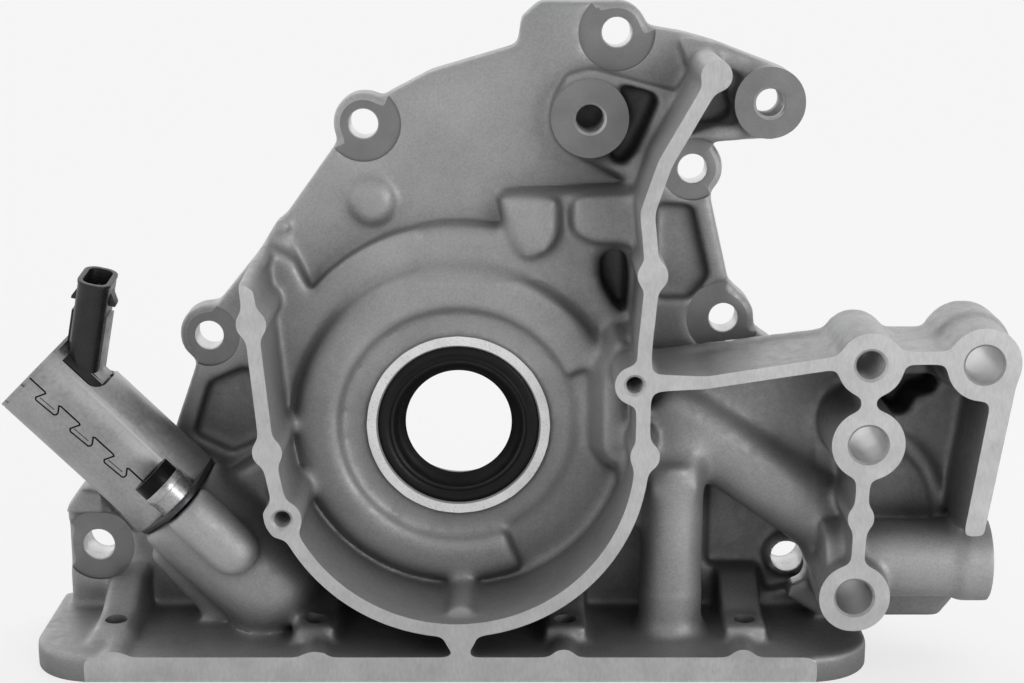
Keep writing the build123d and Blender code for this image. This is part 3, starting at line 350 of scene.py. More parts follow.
def spread(nodes, links, value, low, high, start=0.3, end=0.7):
    """Maps a noise value to a range."""
    node = nodes.new("ShaderNodeMapRange")
    for socket, number in zip(("From Min", "From Max", "To Min", "To Max"), (start, end, low, high)):
        node.inputs[socket].default_value = number
    links.new(value, node.inputs["Value"])
    return node.outputs["Result"]


def product(nodes, links, first, second):
    """Two values multiplied."""
    node = nodes.new("ShaderNodeMath")
    node.operation = "MULTIPLY"
    links.new(first, node.inputs[0])
    links.new(second, node.inputs[1])
    return node.outputs[0]


def tinted(nodes, links, colour, value):
    """A colour made lighter and darker by a value near one."""
    node = nodes.new("ShaderNodeVectorMath")
    node.operation = "SCALE"
    node.inputs[0].default_value = colour
    links.new(value, node.inputs["Scale"])
    return node.outputs[0]


def bumped(nodes, links, principled, value, depth, strength=1.0):
    """Relief of this depth in millimetres on the shader's normal."""
    bump = nodes.new("ShaderNodeBump")
    bump.inputs["Strength"].default_value = strength
    bump.inputs["Distance"].default_value = depth * MM
    links.new(value, bump.inputs["Height"])
    links.new(bump.outputs["Normal"], principled.inputs["Normal"])


def cast_surface(colour):
    """Blasted die casting: fine grain and soft patches, with painted highlight on its edges and painted shade in its
    creases and hollows.
    """
    material, nodes, links, principled = shader("cast_surface", colour, 0.6, 0.5)
    patches = spread(nodes, links, noise(nodes, links, 0.035, 4), 0.86, 1.12)
    grain = spread(nodes, links, noise(nodes, links, 1.5, 3), 0.91, 1.09)
    # Painted highlight and painted shade: pointiness lightens the colour on convex edges and darkens it in concave
    # creases.
    geometry = nodes.new("ShaderNodeNewGeometry")
    edges = spread(nodes, links, geometry.outputs["Pointiness"], 0.88, 1.14, 0.44, 0.56)
    # Painted shade: ambient occlusion darkens the colour in hollows and recesses.
    hollows = nodes.new("ShaderNodeAmbientOcclusion")
    hollows.inputs["Distance"].default_value = 34 * MM
    hollows.samples = 4
    painted_hollow_shade = spread(nodes, links, hollows.outputs["AO"], 0.34, 1.0, 0.15, 0.92)
    shade = product(nodes, links, product(nodes, links, patches, grain), product(nodes, links, edges, painted_hollow_shade))
    links.new(tinted(nodes, links, colour, shade), principled.inputs["Base Color"])
    links.new(spread(nodes, links, noise(nodes, links, 0.4, 3), 0.44, 0.6), principled.inputs["Roughness"])
    bumped(nodes, links, principled, noise(nodes, links, 1.1, 4), 0.12, 0.4)
    return material


def machined_surface(name, colour, metallic=0.7, roughness=0.36, marks_stretch=(1.0, 1.0, 0.35)):
    """Milled or turned face with faint, random tool marks."""
    material, nodes, links, principled = shader(name, colour, metallic, roughness)
    marks = noise(nodes, links, 1.6, 4, marks_stretch)
    patches = spread(nodes, links, noise(nodes, links, 0.12, 4), 0.9, 1.08)
    shade = product(nodes, links, patches, spread(nodes, links, marks, 0.93, 1.06))
    links.new(tinted(nodes, links, colour, shade), principled.inputs["Base Color"])
    links.new(spread(nodes, links, marks, roughness - 0.04, roughness + 0.08), principled.inputs["Roughness"])
    bumped(nodes, links, principled, marks, 0.03, 0.5)
    return material


def plated_metal(name, colour, roughness, stretch=(1, 1, 1), grain=1.2):
    """Rolled, drawn or ground metal with fine marks along one direction."""
    material, nodes, links, principled = shader(name, colour, 0.95, roughness)
    marks = noise(nodes, links, grain, 4, stretch)
    patches = spread(nodes, links, noise(nodes, links, 0.09, 3), 0.9, 1.1)
    shade = product(nodes, links, patches, spread(nodes, links, marks, 0.88, 1.12))
    links.new(tinted(nodes, links, colour, shade), principled.inputs["Base Color"])
    links.new(spread(nodes, links, marks, roughness - 0.05, roughness + 0.08), principled.inputs["Roughness"])
    bumped(nodes, links, principled, marks, 0.02, 0.35)
    return material


def moulded(name, colour, roughness, grain, depth, specular=0.5):
    """Plastic or rubber with a fine moulded grain and light dust."""
    material, nodes, links, principled = shader(name, colour, 0.0, roughness)
    principled.inputs["Specular IOR Level"].default_value = specular
    relief = noise(nodes, links, grain, 3)
    dust = spread(nodes, links, noise(nodes, links, 0.2, 5), 0.85, 1.5, 0.4, 0.75)
    links.new(tinted(nodes, links, colour, dust), principled.inputs["Base Color"])
    links.new(spread(nodes, links, relief, roughness - 0.06, roughness + 0.1), principled.inputs["Roughness"])
    bumped(nodes, links, principled, relief, depth, 0.5)
    return material


# The casting


def grown_faces(bm, facing, on_face, distance):
    """Pulls the flat faces that a test picks out along their normal, in millimetres."""
    picked = [f for f in bm.faces if f.normal.dot(facing) > 0.999 and on_face(f)]
    if not picked:
        raise RuntimeError("no face of the casting lies where one is machined")
    moved = bmesh.ops.extrude_face_region(bm, geom=picked)
    verts = [v for v in moved["geom"] if isinstance(v, bmesh.types.BMVert)]
    bmesh.ops.translate(bm, verts=verts, vec=facing * distance * MM)


def gridded(obj, size):
    """Rebuilds a solid on an even grid, which joins its overlapping parts."""
    grid = obj.modifiers.new("grid", "REMESH")
    grid.mode, grid.voxel_size, grid.adaptivity = "VOXEL", size, 0.0
    return settled(obj)


def raw_casting(allowance):
    """The casting before machining: its machined faces stand proud. Its holes are filled by the solids of hole_plugs,
    joined to it later.
    """
    bm = welded("housing")
    bmesh.ops.recalc_face_normals(bm, faces=bm.faces)

    def level(height, centre=None, reach=None):
        def test(face):
            middle = face.calc_center_median() / MM
            flat = abs(middle.y + height) < 0.01
            return flat and (centre is None or (Vector((middle.x, middle.z)) - Vector(centre)).length < reach)
        return test

    for facing, on_face in (
            (TO_FRONT, level(FRONT)), (TO_BACK, level(0.0)), (TO_FRONT, level(COLLAR, (0, 0), COLLAR_R)),
            (TO_FRONT, level(HIGH_BOSS_HEIGHT, HIGH_BOSS, HIGH_BOSS_R)),
            (TO_FRONT, level(SIDE_BOSS_HEIGHT, SIDE_BOSS, SIDE_BOSS_R)),
            (DOWN, lambda f: abs(f.calc_center_median().z / MM - PAN_FACE) < 0.01),
            (TO_RIGHT, lambda f: abs(f.calc_center_median().x / MM - RELIEF_MOUTH) < 0.01)):
        grown_faces(bm, facing, on_face, allowance)
    return from_bmesh("casting", bm, outward=False)


def hole_plugs(allowance):
    """Solids that fill the machined holes while the casting is rounded."""
    spare = 0.6
    high = FRONT + allowance
    plugs = [rod("plug", start, end, radius, at(x, 0, z), TO_FRONT) for places, start, end, radius in (
        (EARS, 0, 11.5, EAR_HOLE_R + spare),
        (DOWELS, -allowance, 11.5, DOWEL_SEAT_R + 0.5),
        (BRACKET_BOLTS[:2], 20, high, BRACKET_BOLT_R + spare),
        (BRACKET_BOLTS[2:], -allowance, high, BRACKET_BOLT_R + spare),
        ([BRACKET_NUT], 20, high, BRACKET_THREAD_R + spare),
        ([SIDE_BOSS], -allowance, SIDE_BOSS_HEIGHT + allowance, BRACKET_THREAD_R + spare),
        ([HIGH_BOSS], 4, HIGH_BOSS_HEIGHT + allowance, BRACKET_THREAD_R + spare),
        (RIB_BOSSES, 37, high, RIB_THREAD_R + 0.8 + spare),
        ([(0, 0)], SEAL_SEAT - 2.4, COLLAR + allowance, SEAL_R + spare),
        ([(0, 0)], -allowance, COVER_SEAT, COVER_SEAT_R + spare)) for x, z in places]
    plugs += [rod("plug", -allowance, 13.0, PAN_THREAD_R + spare, at(x, PAN_BOLT_HEIGHT, PAN_FACE), UP)
              for x in PAN_BOLT_X]
    plugs.append(rod("disc", 8, HIGH_BOSS_HEIGHT + allowance, HIGH_BOSS_R, at(HIGH_BOSS[0], 0, HIGH_BOSS[1]),
                     TO_FRONT))
    return plugs


def cast_forms():
    """Soft forms of the casting that are too round for its plain solid."""
    forms = [turned("dome", [(-2, 0), (-2, radius), (0, radius), (rise * 0.38, radius * 0.93),
                             (rise * 0.7, radius * 0.73), (rise * 0.92, radius * 0.44), (rise, 0)],
                    on_valve(end, side, low), VALVE_AXIS, steps=64)
             for end, side, low, radius, rise in ((SCREW_BOSS_END, SCREW_SIDE, -SCREW_UP, SCREW_BOSS_R, 6.5),
                                                  (SOCKET_END, 0, 0, SOCKET_R, 12.0))]
    forms.append(turned("mark", [(9, 0), (9, MARK_R + 0.3), (11.5, MARK_R + 0.3), (12.8, MARK_R - 0.1),
                                 (14.0, MARK_R - 1.4), (14.7, MARK_R - 3.4), (14.9, 2.2), (14.4, 0.9), (14.3, 0)],
                        at(MARK[0], 0, MARK[1]), TO_FRONT, steps=64))
    forms.append(capsule("tube top", at(SUCTION_X, SUCTION_HEIGHT, -20), at(SUCTION_X, SUCTION_HEIGHT - 6, -3), 9.8))
    forms.append(extruded("recess wall", RECESS_WALL, RECESS_FLOOR - 3, BRACKET_WALL - 3))
    level = BRACKET_WALL - RIDGE_SUNK
    forms += [capsule("ridge", at(x0, level, z0), at(x1, level, z1), RIDGE_R)
              for (x0, z0), (x1, z1) in zip(RIDGE, RIDGE[1:])]
    return forms


def threaded(start, end, radius, pitch, lead=0.8):
    """Profile of a tapped hole with a lead chamfer at its end."""
    profile = [(start, 0), (start, radius)]
    along = start
    while along + pitch < end - lead:
        profile += [(along + pitch * 0.45, radius + pitch * 0.36), (along + pitch * 0.9, radius)]
        along += pitch
    return profile + [(end - lead, radius), (end, radius + lead), (end + 0.2, radius + lead), (end + 0.2, 0)]


def through(start, end, radius, chamfer=0.5):
    """Profile of a drilled hole with a chamfer at its end."""
    return [(start, 0), (start, radius), (end - chamfer, radius), (end, radius + chamfer),
            (end + 3, radius + chamfer), (end + 3, 0)]


def machine(casting):
    """Cuts the flat faces and the holes of the casting, crisp against its rounded form."""
    far = 200
    combined(casting, block("envelope", (-far, 0, PAN_FACE), (far, FRONT + 8, far)), "INTERSECT")
    right_of_valve, above_valve, below_valve = -57.9, -5.0, -44.0
    for low, high in (((right_of_valve, FRONT, PAN_FACE - 1), (far, FRONT + 10, far)),
                      ((-far, FRONT, PAN_FACE - 1), (right_of_valve, FRONT + 10, below_valve)),
                      ((-far, FRONT, above_valve), (right_of_valve, FRONT + 10, far))):
        cut(casting, block("front face", low, high))
    relief_axis = at(0, RELIEF_HEIGHT, RELIEF_Z)
    cut(casting, rod("mouth", RELIEF_MOUTH, RELIEF_MOUTH + 6, RELIEF_TUBE_R, relief_axis, TO_RIGHT))
    tools = []
    for x, z in EARS:
        spot_r = SPOT_R if (x, z) in WIDE_EARS else EAR_R + 0.3
        tools.append(turned("ear", [(-1, 0), (-1, EAR_HOLE_R), (SPOT - 0.3, EAR_HOLE_R), (SPOT, EAR_HOLE_R + 0.3),
                                    (SPOT, spot_r), (SPOT + 6, spot_r), (SPOT + 6, 0)], at(x, 0, z), TO_FRONT))
    for (x, z), (spot, spot_r) in zip(DOWELS, DOWEL_SPOTS):
        tools.append(turned("dowel", [(-1, 0), (-1, DOWEL_SEAT_R), (DOWEL_DEPTH, DOWEL_SEAT_R),
                                      (DOWEL_DEPTH, DOWEL_HOLE_R), (spot - 0.3, DOWEL_HOLE_R),
                                      (spot, DOWEL_HOLE_R + 0.3), (spot, spot_r), (spot + 6, spot_r), (spot + 6, 0)],
                            at(x, 0, z), TO_FRONT))
    tools += [turned("bolt", through(-1, FRONT, BRACKET_BOLT_R, 0.7), at(x, 0, z), TO_FRONT) for x, z in BRACKET_BOLTS]
    tools.append(turned("nut", threaded(15, FRONT, BRACKET_THREAD_R, 1.5), at(BRACKET_NUT[0], 0, BRACKET_NUT[1]),
                        TO_FRONT))
    for (x, z), height, start, reach in ((SIDE_BOSS, SIDE_BOSS_HEIGHT, -1, SIDE_BOSS_R + 1),
                                         (HIGH_BOSS, HIGH_BOSS_HEIGHT, 5, HIGH_BOSS_R + 0.6)):
        profile = threaded(start, height, BRACKET_THREAD_R, 1.5)[:-2]
        tools.append(turned("boss", profile + [(height, reach), (height + 6, reach), (height + 6, 0)],
                            at(x, 0, z), TO_FRONT))
    tools += [turned("rib boss", threaded(FRONT - RIB_THREAD_DEPTH, FRONT, RIB_THREAD_R, 1.0), at(x, 0, z), TO_FRONT)
              for x, z in RIB_BOSSES]
    tools.append(turned("seal seat", [(12.3, 0), (12.3, CRANK_HOLE_R), (SEAL_SEAT, CRANK_HOLE_R), (SEAL_SEAT, SEAL_R),
                                      (COLLAR - 0.5, SEAL_R), (COLLAR, SEAL_R + 0.5), (COLLAR, COLLAR_R + 2),
                                      (COLLAR + 8, COLLAR_R + 2), (COLLAR + 8, 0)], at(0, 0, 0), TO_FRONT))
    tools += [turned("pan bolt", through(-16, 0.5, PAN_THREAD_R), at(x, PAN_BOLT_HEIGHT, PAN_FACE), DOWN)
              for x in PAN_BOLT_X]
    tools.append(rod("suction", PAN_FACE - 1, SUCTION_TOP, SUCTION_R, at(SUCTION_X, SUCTION_HEIGHT, 0), UP))
    tools.append(turned("relief", [(RELIEF_SEAT, 0), (RELIEF_SEAT, RELIEF_R), (RELIEF_THREAD, RELIEF_R),
                                   (RELIEF_THREAD, PLUG_R), (RELIEF_COUNTERBORE, PLUG_R),
                                   (RELIEF_COUNTERBORE, PLUG_HEAD_R), (RELIEF_MOUTH + 1, PLUG_HEAD_R),
                                   (RELIEF_MOUTH + 1, 0)], relief_axis, TO_RIGHT))
    tools.append(rod("cover seat", -1, COVER_SEAT, COVER_SEAT_R, at(0, 0, 0), TO_FRONT))
    tools.append(rod("pocket", -1, POCKET_FLOOR, POCKET_R, at(0, 0, POCKET_RISE), TO_FRONT, steps=128))
    tools.append(rod("can room", 0, 59, CAN_R + CAN_ROOM, on_valve(0), VALVE_AXIS))
    tools.append(rod("valve bore", 0, 37, VALVE_BORE_R, on_valve(VALVE_BORE_START), VALVE_AXIS))
    for tool in tools:
        cut(casting, tool)


def machined_kinds(mesh):
    """Finish of each face: 0 as cast, 1 milled, 2 spot faced, 3 turned. Cut faces lie at known levels."""
    count = len(mesh.polygons)
    middles, normals = np.empty(count * 3), np.empty(count * 3)
    mesh.polygons.foreach_get("center", middles)
    mesh.polygons.foreach_get("normal", normals)
    middles, normals = middles.reshape(-1, 3) / MM, normals.reshape(-1, 3)
    x, height, z = middles[:, 0], -middles[:, 1], middles[:, 2]
    flat, near = 0.995, 0.03
    facing = -normals[:, 1] > flat
    kinds = np.zeros(count, dtype=np.int32)
    milled = facing & (abs(height - FRONT) < near)
    milled |= (normals[:, 1] > flat) & (abs(height) < near)
    milled |= (normals[:, 2] < -flat) & (abs(z - PAN_FACE) < near)
    kinds[milled] = 1
    spots = [(*place, SPOT, SPOT_R) for place in EARS]
    spots += [(*DOWELS[0], *DOWEL_SPOTS[0]), (*DOWELS[1], DOWEL_SPOTS[1][0], DOWEL_SPOTS[1][1] + 0.1),
              (*SIDE_BOSS, SIDE_BOSS_HEIGHT, SIDE_BOSS_R + 1), (*HIGH_BOSS, HIGH_BOSS_HEIGHT, HIGH_BOSS_R + 1)]
    for cx, cz, level, reach in spots:
        kinds[facing & (abs(height - level) < near) & (np.hypot(x - cx, z - cz) < reach + 0.1)] = 2
    kinds[facing & (abs(height - COLLAR) < near) & (np.hypot(x, z) < COLLAR_R + 2)] = 3
    holes = [(*place, EAR_HOLE_R) for place in EARS] + [(*place, DOWEL_HOLE_R) for place in DOWELS]
    holes += [(*place, BRACKET_BOLT_R) for place in BRACKET_BOLTS]
    holes += [(*place, BRACKET_THREAD_R + 0.9) for place in (BRACKET_NUT, SIDE_BOSS, HIGH_BOSS)]
    holes += [(*place, RIB_THREAD_R + 1.0) for place in RIB_BOSSES] + [(0, 0, SEAL_R)]
    for cx, cz, radius in holes:
        kinds[(abs(normals[:, 1]) < 0.9) & (np.hypot(x - cx, z - cz) < radius + 0.15)] = 1
    return kinds


def weighted_smoothing(mesh, strength, passes):
    """Moves each vertex toward its neighbours' mean, by its own strength."""
    count = len(mesh.vertices)
    points = np.empty(count * 3)
    mesh.vertices.foreach_get("co", points)
    points = points.reshape(-1, 3)
    ends = np.empty(len(mesh.edges) * 2, dtype=np.int64)
    mesh.edges.foreach_get("vertices", ends)
    first, second = ends[0::2], ends[1::2]
    share = np.bincount(first, minlength=count) + np.bincount(second, minlength=count)
    weight = strength(points / MM)[:, None]
    for _ in range(passes):
        mean = np.empty_like(points)
        for k in range(3):
            total = np.bincount(first, points[second, k], count) + np.bincount(second, points[first, k], count)
            mean[:, k] = total / share
        points += (mean - points) * weight
    mesh.vertices.foreach_set("co", points.ravel())
    mesh.update()


def soft_blocks(p):
    """How much each place of the casting is smoothed: the blocks, the feed tube and the valve's socket."""
    x, height, z = p[:, 0], -p[:, 1], p[:, 2]
    radius = np.hypot(x, z)
    blocks = (x > -12) & (x < 52.6) & (z > 46) & (z < 82) & (height > 12.5) & (height < 30)
    feed = (radius > 59) & (x < 110) & (x > 40) & (z > -50) & (z < 19) & (height > 9) & (height < 46)
    socket = (radius > 60) & (x < -40) & (x > -113) & (z > -62.5) & (z < -4) & (height > 13) & (height < 62)
    return 0.5 * (blocks | feed | socket)


def soft_ring(p):
    """How much the raised gallery round the seal is smoothed."""
    radius = np.hypot(p[:, 0], p[:, 2])
    return 0.5 * ((radius > 29.5) & (radius < 52.5) & (-p[:, 1] > 17) & (-p[:, 1] < 34))


class CastingSettings(bpy.types.PropertyGroup):
    """Sizes and colours of the casting."""
    voxel: FloatProperty(name="Casting detail", description="Grid size of the rounded casting", default=0.85 * MM,
                         min=0.5 * MM, max=3 * MM, unit="LENGTH", precision=5)
    allowance: FloatProperty(name="Machining allowance", description="Metal that is cut from each machined face, in mm",
                             default=2.5, min=1.0, max=5.0)
    cast_colour: FloatVectorProperty(name="Cast colour", description="Colour of the as-cast skin", subtype="COLOR",
                                     default=(0.42, 0.42, 0.425), min=0, max=1)
    milled_colour: FloatVectorProperty(name="Milled colour", description="Colour of the milled faces", subtype="COLOR",
                                       default=(0.62, 0.62, 0.625), min=0, max=1)
    # The spot faces' colour is painted darker than the milled colour: painted shade for the dark reflection these faces
    # show.
    shaded_spot_colour: FloatVectorProperty(name="Spot face colour", description="Colour of the ears' cut faces",
                                     subtype="COLOR", default=(0.26, 0.26, 0.265), min=0, max=1)
    # The collar's near-white colour, with little metal in it, paints the bright reflection of its polished turned face
    # as colour.
    collar_reflection_colour: FloatVectorProperty(name="Collar colour", description="Colour of the turned collar",
                                       subtype="COLOR", default=(0.95, 0.95, 0.95), min=0, max=1)


class ValveSettings(bpy.types.PropertyGroup):
    """Sizes and colours of the solenoid valve."""
    seam_width: FloatProperty(name="Seam width", description="Width of the can's seam in mm", default=0.5, min=0.1,
                              max=1.0)
    can_colour: FloatVectorProperty(name="Can colour", description="Colour of the rolled steel can", subtype="COLOR",
                                    default=(0.41, 0.41, 0.41), min=0, max=1)
    plastic_colour: FloatVectorProperty(name="Plastic colour", description="Colour of the connector", subtype="COLOR",
                                        default=(0.012, 0.012, 0.013), min=0, max=1)


class StageSettings(bpy.types.PropertyGroup):
    """Floor and light."""
    floor_colour: FloatVectorProperty(name="Floor colour", description="Colour of the plain floor", subtype="COLOR",
                                      default=(0.9, 0.9, 0.9), min=0, max=1)
    lamp_power: FloatProperty(name="Lamp power", description="Power of the soft lamp", default=2.6, min=0,
                              max=200, unit="POWER")


class PUMP_OT_casting(bpy.types.Operator):
    """Builds the housing: a rounded casting with crisp machined faces and holes"""
    bl_idname = "oil_pump.casting"
    bl_label = "Casting"

    def execute(self, context):
        settings = context.scene.pump_casting
        casting = joined("housing_casting", [raw_casting(settings.allowance), *hole_plugs(settings.allowance),
                                             *cast_forms()])
        gridded(casting, settings.voxel)
        cut(casting, extruded("recess", RECESS, RECESS_FLOOR, BRACKET_WALL + 6))
        cut(casting, extruded("block slope", BLOCK_SLOPE, -BLOCK_SLOPE_HIGH, -BLOCK_SLOPE_LOW,
                              Matrix.Rotation(radians(90), 4, "X")))
        gridded(casting, settings.voxel)
        weighted_smoothing(casting.data, lambda p: np.full(len(p), 0.5), 9)
        weighted_smoothing(casting.data, soft_ring, 14)
        weighted_smoothing(casting.data, soft_blocks, 40)
        machine(casting)
        casting.data.materials.clear()
        for finish in (cast_surface(settings.cast_colour), machined_surface("milled_surface", settings.milled_colour),
                       # The spot face material is painted darker, as painted shade.
                       machined_surface("spot_face_shaded", settings.shaded_spot_colour, 0.6, 0.42, (1, 1, 1)),
                       # The collar material is a painted reflection.
                       machined_surface("turned_collar_painted_reflection", settings.collar_reflection_colour, 0.2, 0.3, (1, 1, 1))):
            casting.data.materials.append(finish)
        casting.data.polygons.foreach_set("material_index", machined_kinds(casting.data))
        softened(casting, 38.0)
        dressed(casting, None, "housing")
        return {"FINISHED"}


class PUMP_OT_seal(bpy.types.Operator):
    """Builds the crank seal"""
    bl_idname = "oil_pump.seal"
    bl_label = "Crank seal"

    def execute(self, context):
        rubber = moulded("seal_rubber", (0.004, 0.004, 0.004), 0.36, 1.2, 0.03, 0.28)
        profile = [(SEAL_SEAT, SEAL_R), (SEAL_FACE - 0.5, SEAL_R), (SEAL_FACE, SEAL_R - 0.5), (SEAL_FACE, 22.3),
                   (SEAL_FACE - 0.35, 22.0), (SEAL_FACE - 0.35, 21.3), (SEAL_FACE, 21.0), (SEAL_FACE - 0.2, 20.5),
                   (SEAL_FACE - 1.6, 20.2), (SEAL_SEAT + 3.9, LIP_R + 2.0), (SEAL_SEAT + 3.4, LIP_R + 1.3),
                   (SEAL_SEAT + 2.2, LIP_R), (SEAL_SEAT + 1.0, LIP_R + 0.8), (SEAL_SEAT + 0.6, LIP_R + 2.2),
                   (SEAL_SEAT + 2.9, LIP_R + 2.2), (SEAL_FACE - 2.6, 20.8), (SEAL_FACE - 2.6, SEAL_R - 2.2),
                   (SEAL_SEAT, SEAL_R - 2.2)]
        seal = softened(turned("crank_seal", profile, at(0, 0, 0), TO_FRONT, 128, ring=True), 50)
        dressed(seal, rubber, "seal_body")
        repainted("garter_spring", plated_metal("garter_wire", (0.45, 0.45, 0.45), 0.3))
        repainted("seal_insert", plated_metal("insert_steel", (0.4, 0.4, 0.4), 0.4))
        return {"FINISHED"}


class PUMP_OT_rotors(bpy.types.Operator):
    """Finishes the rotor set and the rear cover"""
    bl_idname = "oil_pump.rotors"
    bl_label = "Rotors and rear cover"

    def execute(self, context):
        sintered = plated_metal("sintered_steel", (0.2, 0.2, 0.205), 0.42, grain=2.5)
        for node in ("inner_rotor", "outer_rotor"):
            repainted(node, sintered)
        rounded_copy("rear_cover_plate", "rear_cover", 0.25,
                     plated_metal("ground_plate", (0.42, 0.42, 0.43), 0.32, (1, 1, 0.08)))
        rounded_copy("cover_screw_set", "cover_screws", 0.12, plated_metal("zinc_screws", (0.5, 0.5, 0.5), 0.3))
        rounded_copy("dowel_sleeve_pair", "dowel_sleeves", 0.25,
                     plated_metal("drawn_sleeve", (0.48, 0.48, 0.48), 0.3))
        return {"FINISHED"}


class PUMP_OT_relief_valve(bpy.types.Operator):
    """Builds the relief valve's plug and finishes what it holds"""
    bl_idname = "oil_pump.relief_valve"
    bl_label = "Relief valve"

    def execute(self, context):
        rounded_copy("relief_plug_cap", "relief_plug", 0.3, plated_metal("zinc_plug", (0.5, 0.5, 0.5), 0.33))
        repainted("plug_washer", plated_metal("soft_washer", (0.6, 0.6, 0.6), 0.3))
        repainted("relief_plunger", plated_metal("ground_plunger", (0.5, 0.5, 0.5), 0.25))
        repainted("relief_spring", plated_metal("spring_wire", (0.3, 0.3, 0.3), 0.35))
        return {"FINISHED"}


def seam_paths():
    """The can's dovetail seam and the press mark in each tab, as (distance, arc length) points on the
    unrolled wall in millimetres."""
    pitch, start, line = 13.75, 6.75, -1.4
    tab = ((0.0, line), (0.45, -1.1), (-0.85, 1.75), (-0.4, 2.35), (0.1, 2.45), (6.6, 2.05), (7.1, 1.5), (7.1, 0.7),
           (5.85, -1.1), (6.3, line))
    seam, marks = [(0.6, line)], []
    while start + pitch < CAN_LENGTH:
        seam += [(start + x, y) for x, y in tab]
        marks.append([(start + 0.1, 0.95), (start + 5.6, 0.75)])
        start += pitch
    return seam + [(CAN_LENGTH + 0.5, line)], marks


def wall_groove(name, path, width, depth):
    """Solid that follows a path on the can's wall, to be cut from it."""
    points = [Vector(p) for p in path]
    rows = []
    for i, point in enumerate(points):
        before = (point - points[i - 1]).normalized() if i else (points[1] - point).normalized()
        after = (points[i + 1] - point).normalized() if i + 1 < len(points) else before
        side = Vector((-(before + after).y, (before + after).x)).normalized()
        reach = width / 2 / max(0.5, side.dot(Vector((-before.y, before.x))))
        rows.append([point + side * reach, point - side * reach])
    bm = bmesh.new()

    def lifted(p, radius):
        angle = p.y / CAN_R
        return on_valve(p.x, radius * cos(angle), radius * sin(angle))

    strips = [[bm.verts.new(lifted(p, r)) for p, r in ((left, CAN_R - depth), (left, CAN_R + 0.5),
                                                       (right, CAN_R + 0.5), (right, CAN_R - depth))]
              for left, right in rows]
    for low, high in zip(strips, strips[1:]):
        for i in range(4):
            bm.faces.new([low[i], low[(i + 1) % 4], high[(i + 1) % 4], high[i]])
    bm.faces.new(strips[0])
    bm.faces.new(strips[-1])
    return from_bmesh(name, bm)


def sunk_faces(can, index):
    """Gives the walls of the seam and of the notches another material, a dark one that is their painted shadow."""
    for face in can.data.polygons:
        place = face.center / MM - VALVE_ORIGIN
        along = place.dot(VALVE_AXIS)
        radius = (place - VALVE_AXIS * along).length
        outward = (place - VALVE_AXIS * along).normalized()
        near = abs(CAN_R * atan2(place.dot(VALVE_LOW), place.dot(TO_FRONT))) < 3.2
        wall = radius > CAN_R - 1.05 and abs(face.normal.dot(outward)) < 0.8 and abs(face.normal.dot(VALVE_AXIS)) < 0.99
        floor = near and CAN_R - 0.7 < radius < CAN_R - 0.1
        if 1.6 < along < CAN_LENGTH - 0.5 and near and (wall or floor):
            face.material_index = index


class PUMP_OT_solenoid(bpy.types.Operator):
    """Builds the solenoid can with its seam and finishes what it holds"""
    bl_idname = "oil_pump.solenoid"
    bl_label = "Solenoid"

    def execute(self, context):
        settings = context.scene.pump_valve
        can = solid_copy("solenoid_can_wall", "solenoid_can")
        seam, marks = seam_paths()
        cut(can, wall_groove("seam", seam, settings.seam_width, 0.6))
        for path in marks:
            cut(can, wall_groove("press mark", path, settings.seam_width * 0.5, 0.2))
        for angle, width, depth in ((5.0, 1.6, 0.9), (43.0, 1.4, 1.0)):
            notch = [(-1.5, CAN_R * radians(angle)), (1.4, CAN_R * radians(angle))]
            cut(can, wall_groove("crimp notch", notch, width, depth))
        cut(can, turned("lip", [(1.0, CAN_R - 0.22), (1.0, CAN_R + 1), (1.25, CAN_R + 1), (1.25, CAN_R - 0.22)],
                        on_valve(0), VALVE_AXIS, ring=True))
        rounded(can, 0.12, 1, 40)
        steel = plated_metal("rolled_can", settings.can_colour, 0.44, (1, 1, 1), 0.9)
        dressed(can, steel, "solenoid_can")
        can.data.materials.append(plated_metal("seam_shadow", (0.03, 0.03, 0.03), 0.6))
        sunk_faces(can, 1)
        repainted("coil_winding", plated_metal("enamelled_wire", (0.05, 0.025, 0.015), 0.4))
        repainted("coil_bobbin", moulded("bobbin_plastic", (0.02, 0.02, 0.02), 0.5, 1.0, 0.02))
        turned_steel = plated_metal("turned_steel", (0.4, 0.4, 0.4), 0.3)
        for node in ("end_plate", "guide_tube", "pole_core", "armature"):
            repainted(node, turned_steel)
        return {"FINISHED"}


class PUMP_OT_connector(bpy.types.Operator):
    """Builds the connector with its terminals"""
    bl_idname = "oil_pump.connector"
    bl_label = "Connector"

    def execute(self, context):
        settings = context.scene.pump_valve
        plastic = moulded("connector_plastic", settings.plastic_colour, 0.3, 1.6, 0.05)
        shroud = rounded_copy("connector_shroud", "connector_body", 0.22, plastic)
        shroud.data.materials.append(moulded("scuffed_plastic", (0.33, 0.33, 0.33), 0.6, 0.9, 0.4))
        for face in shroud.data.polygons:
            place = face.center / MM - CONNECTOR_FOOT
            if place.dot(CONNECTOR_SIDE) > 5.15 and place.dot(CONNECTOR_AXIS) < 31:
                face.material_index = 1
        repainted("terminals", plated_metal("tinned_blade", (0.6, 0.6, 0.58), 0.25))
        return {"FINISHED"}


class PUMP_OT_valve_mount(bpy.types.Operator):
    """Builds the valve's mounting flange, bush and fixing screw"""
    bl_idname = "oil_pump.valve_mount"
    bl_label = "Valve mount"

    def execute(self, context):
        rounded_copy("valve_flange_sheet", "valve_flange", 0.3, plated_metal("dark_sheet", (0.1, 0.1, 0.105), 0.4))
        rounded_copy("screw_bush_ring", "screw_bush", 0.3, plated_metal("zinc_bush", (0.5, 0.5, 0.5), 0.28))
        black = moulded("blackened_steel", (0.002, 0.002, 0.002), 0.3, 1.5, 0.02, 0.16)
        rounded_copy("fixing_screw_body", "fixing_screw", 0.5, black, segments=3)
        return {"FINISHED"}


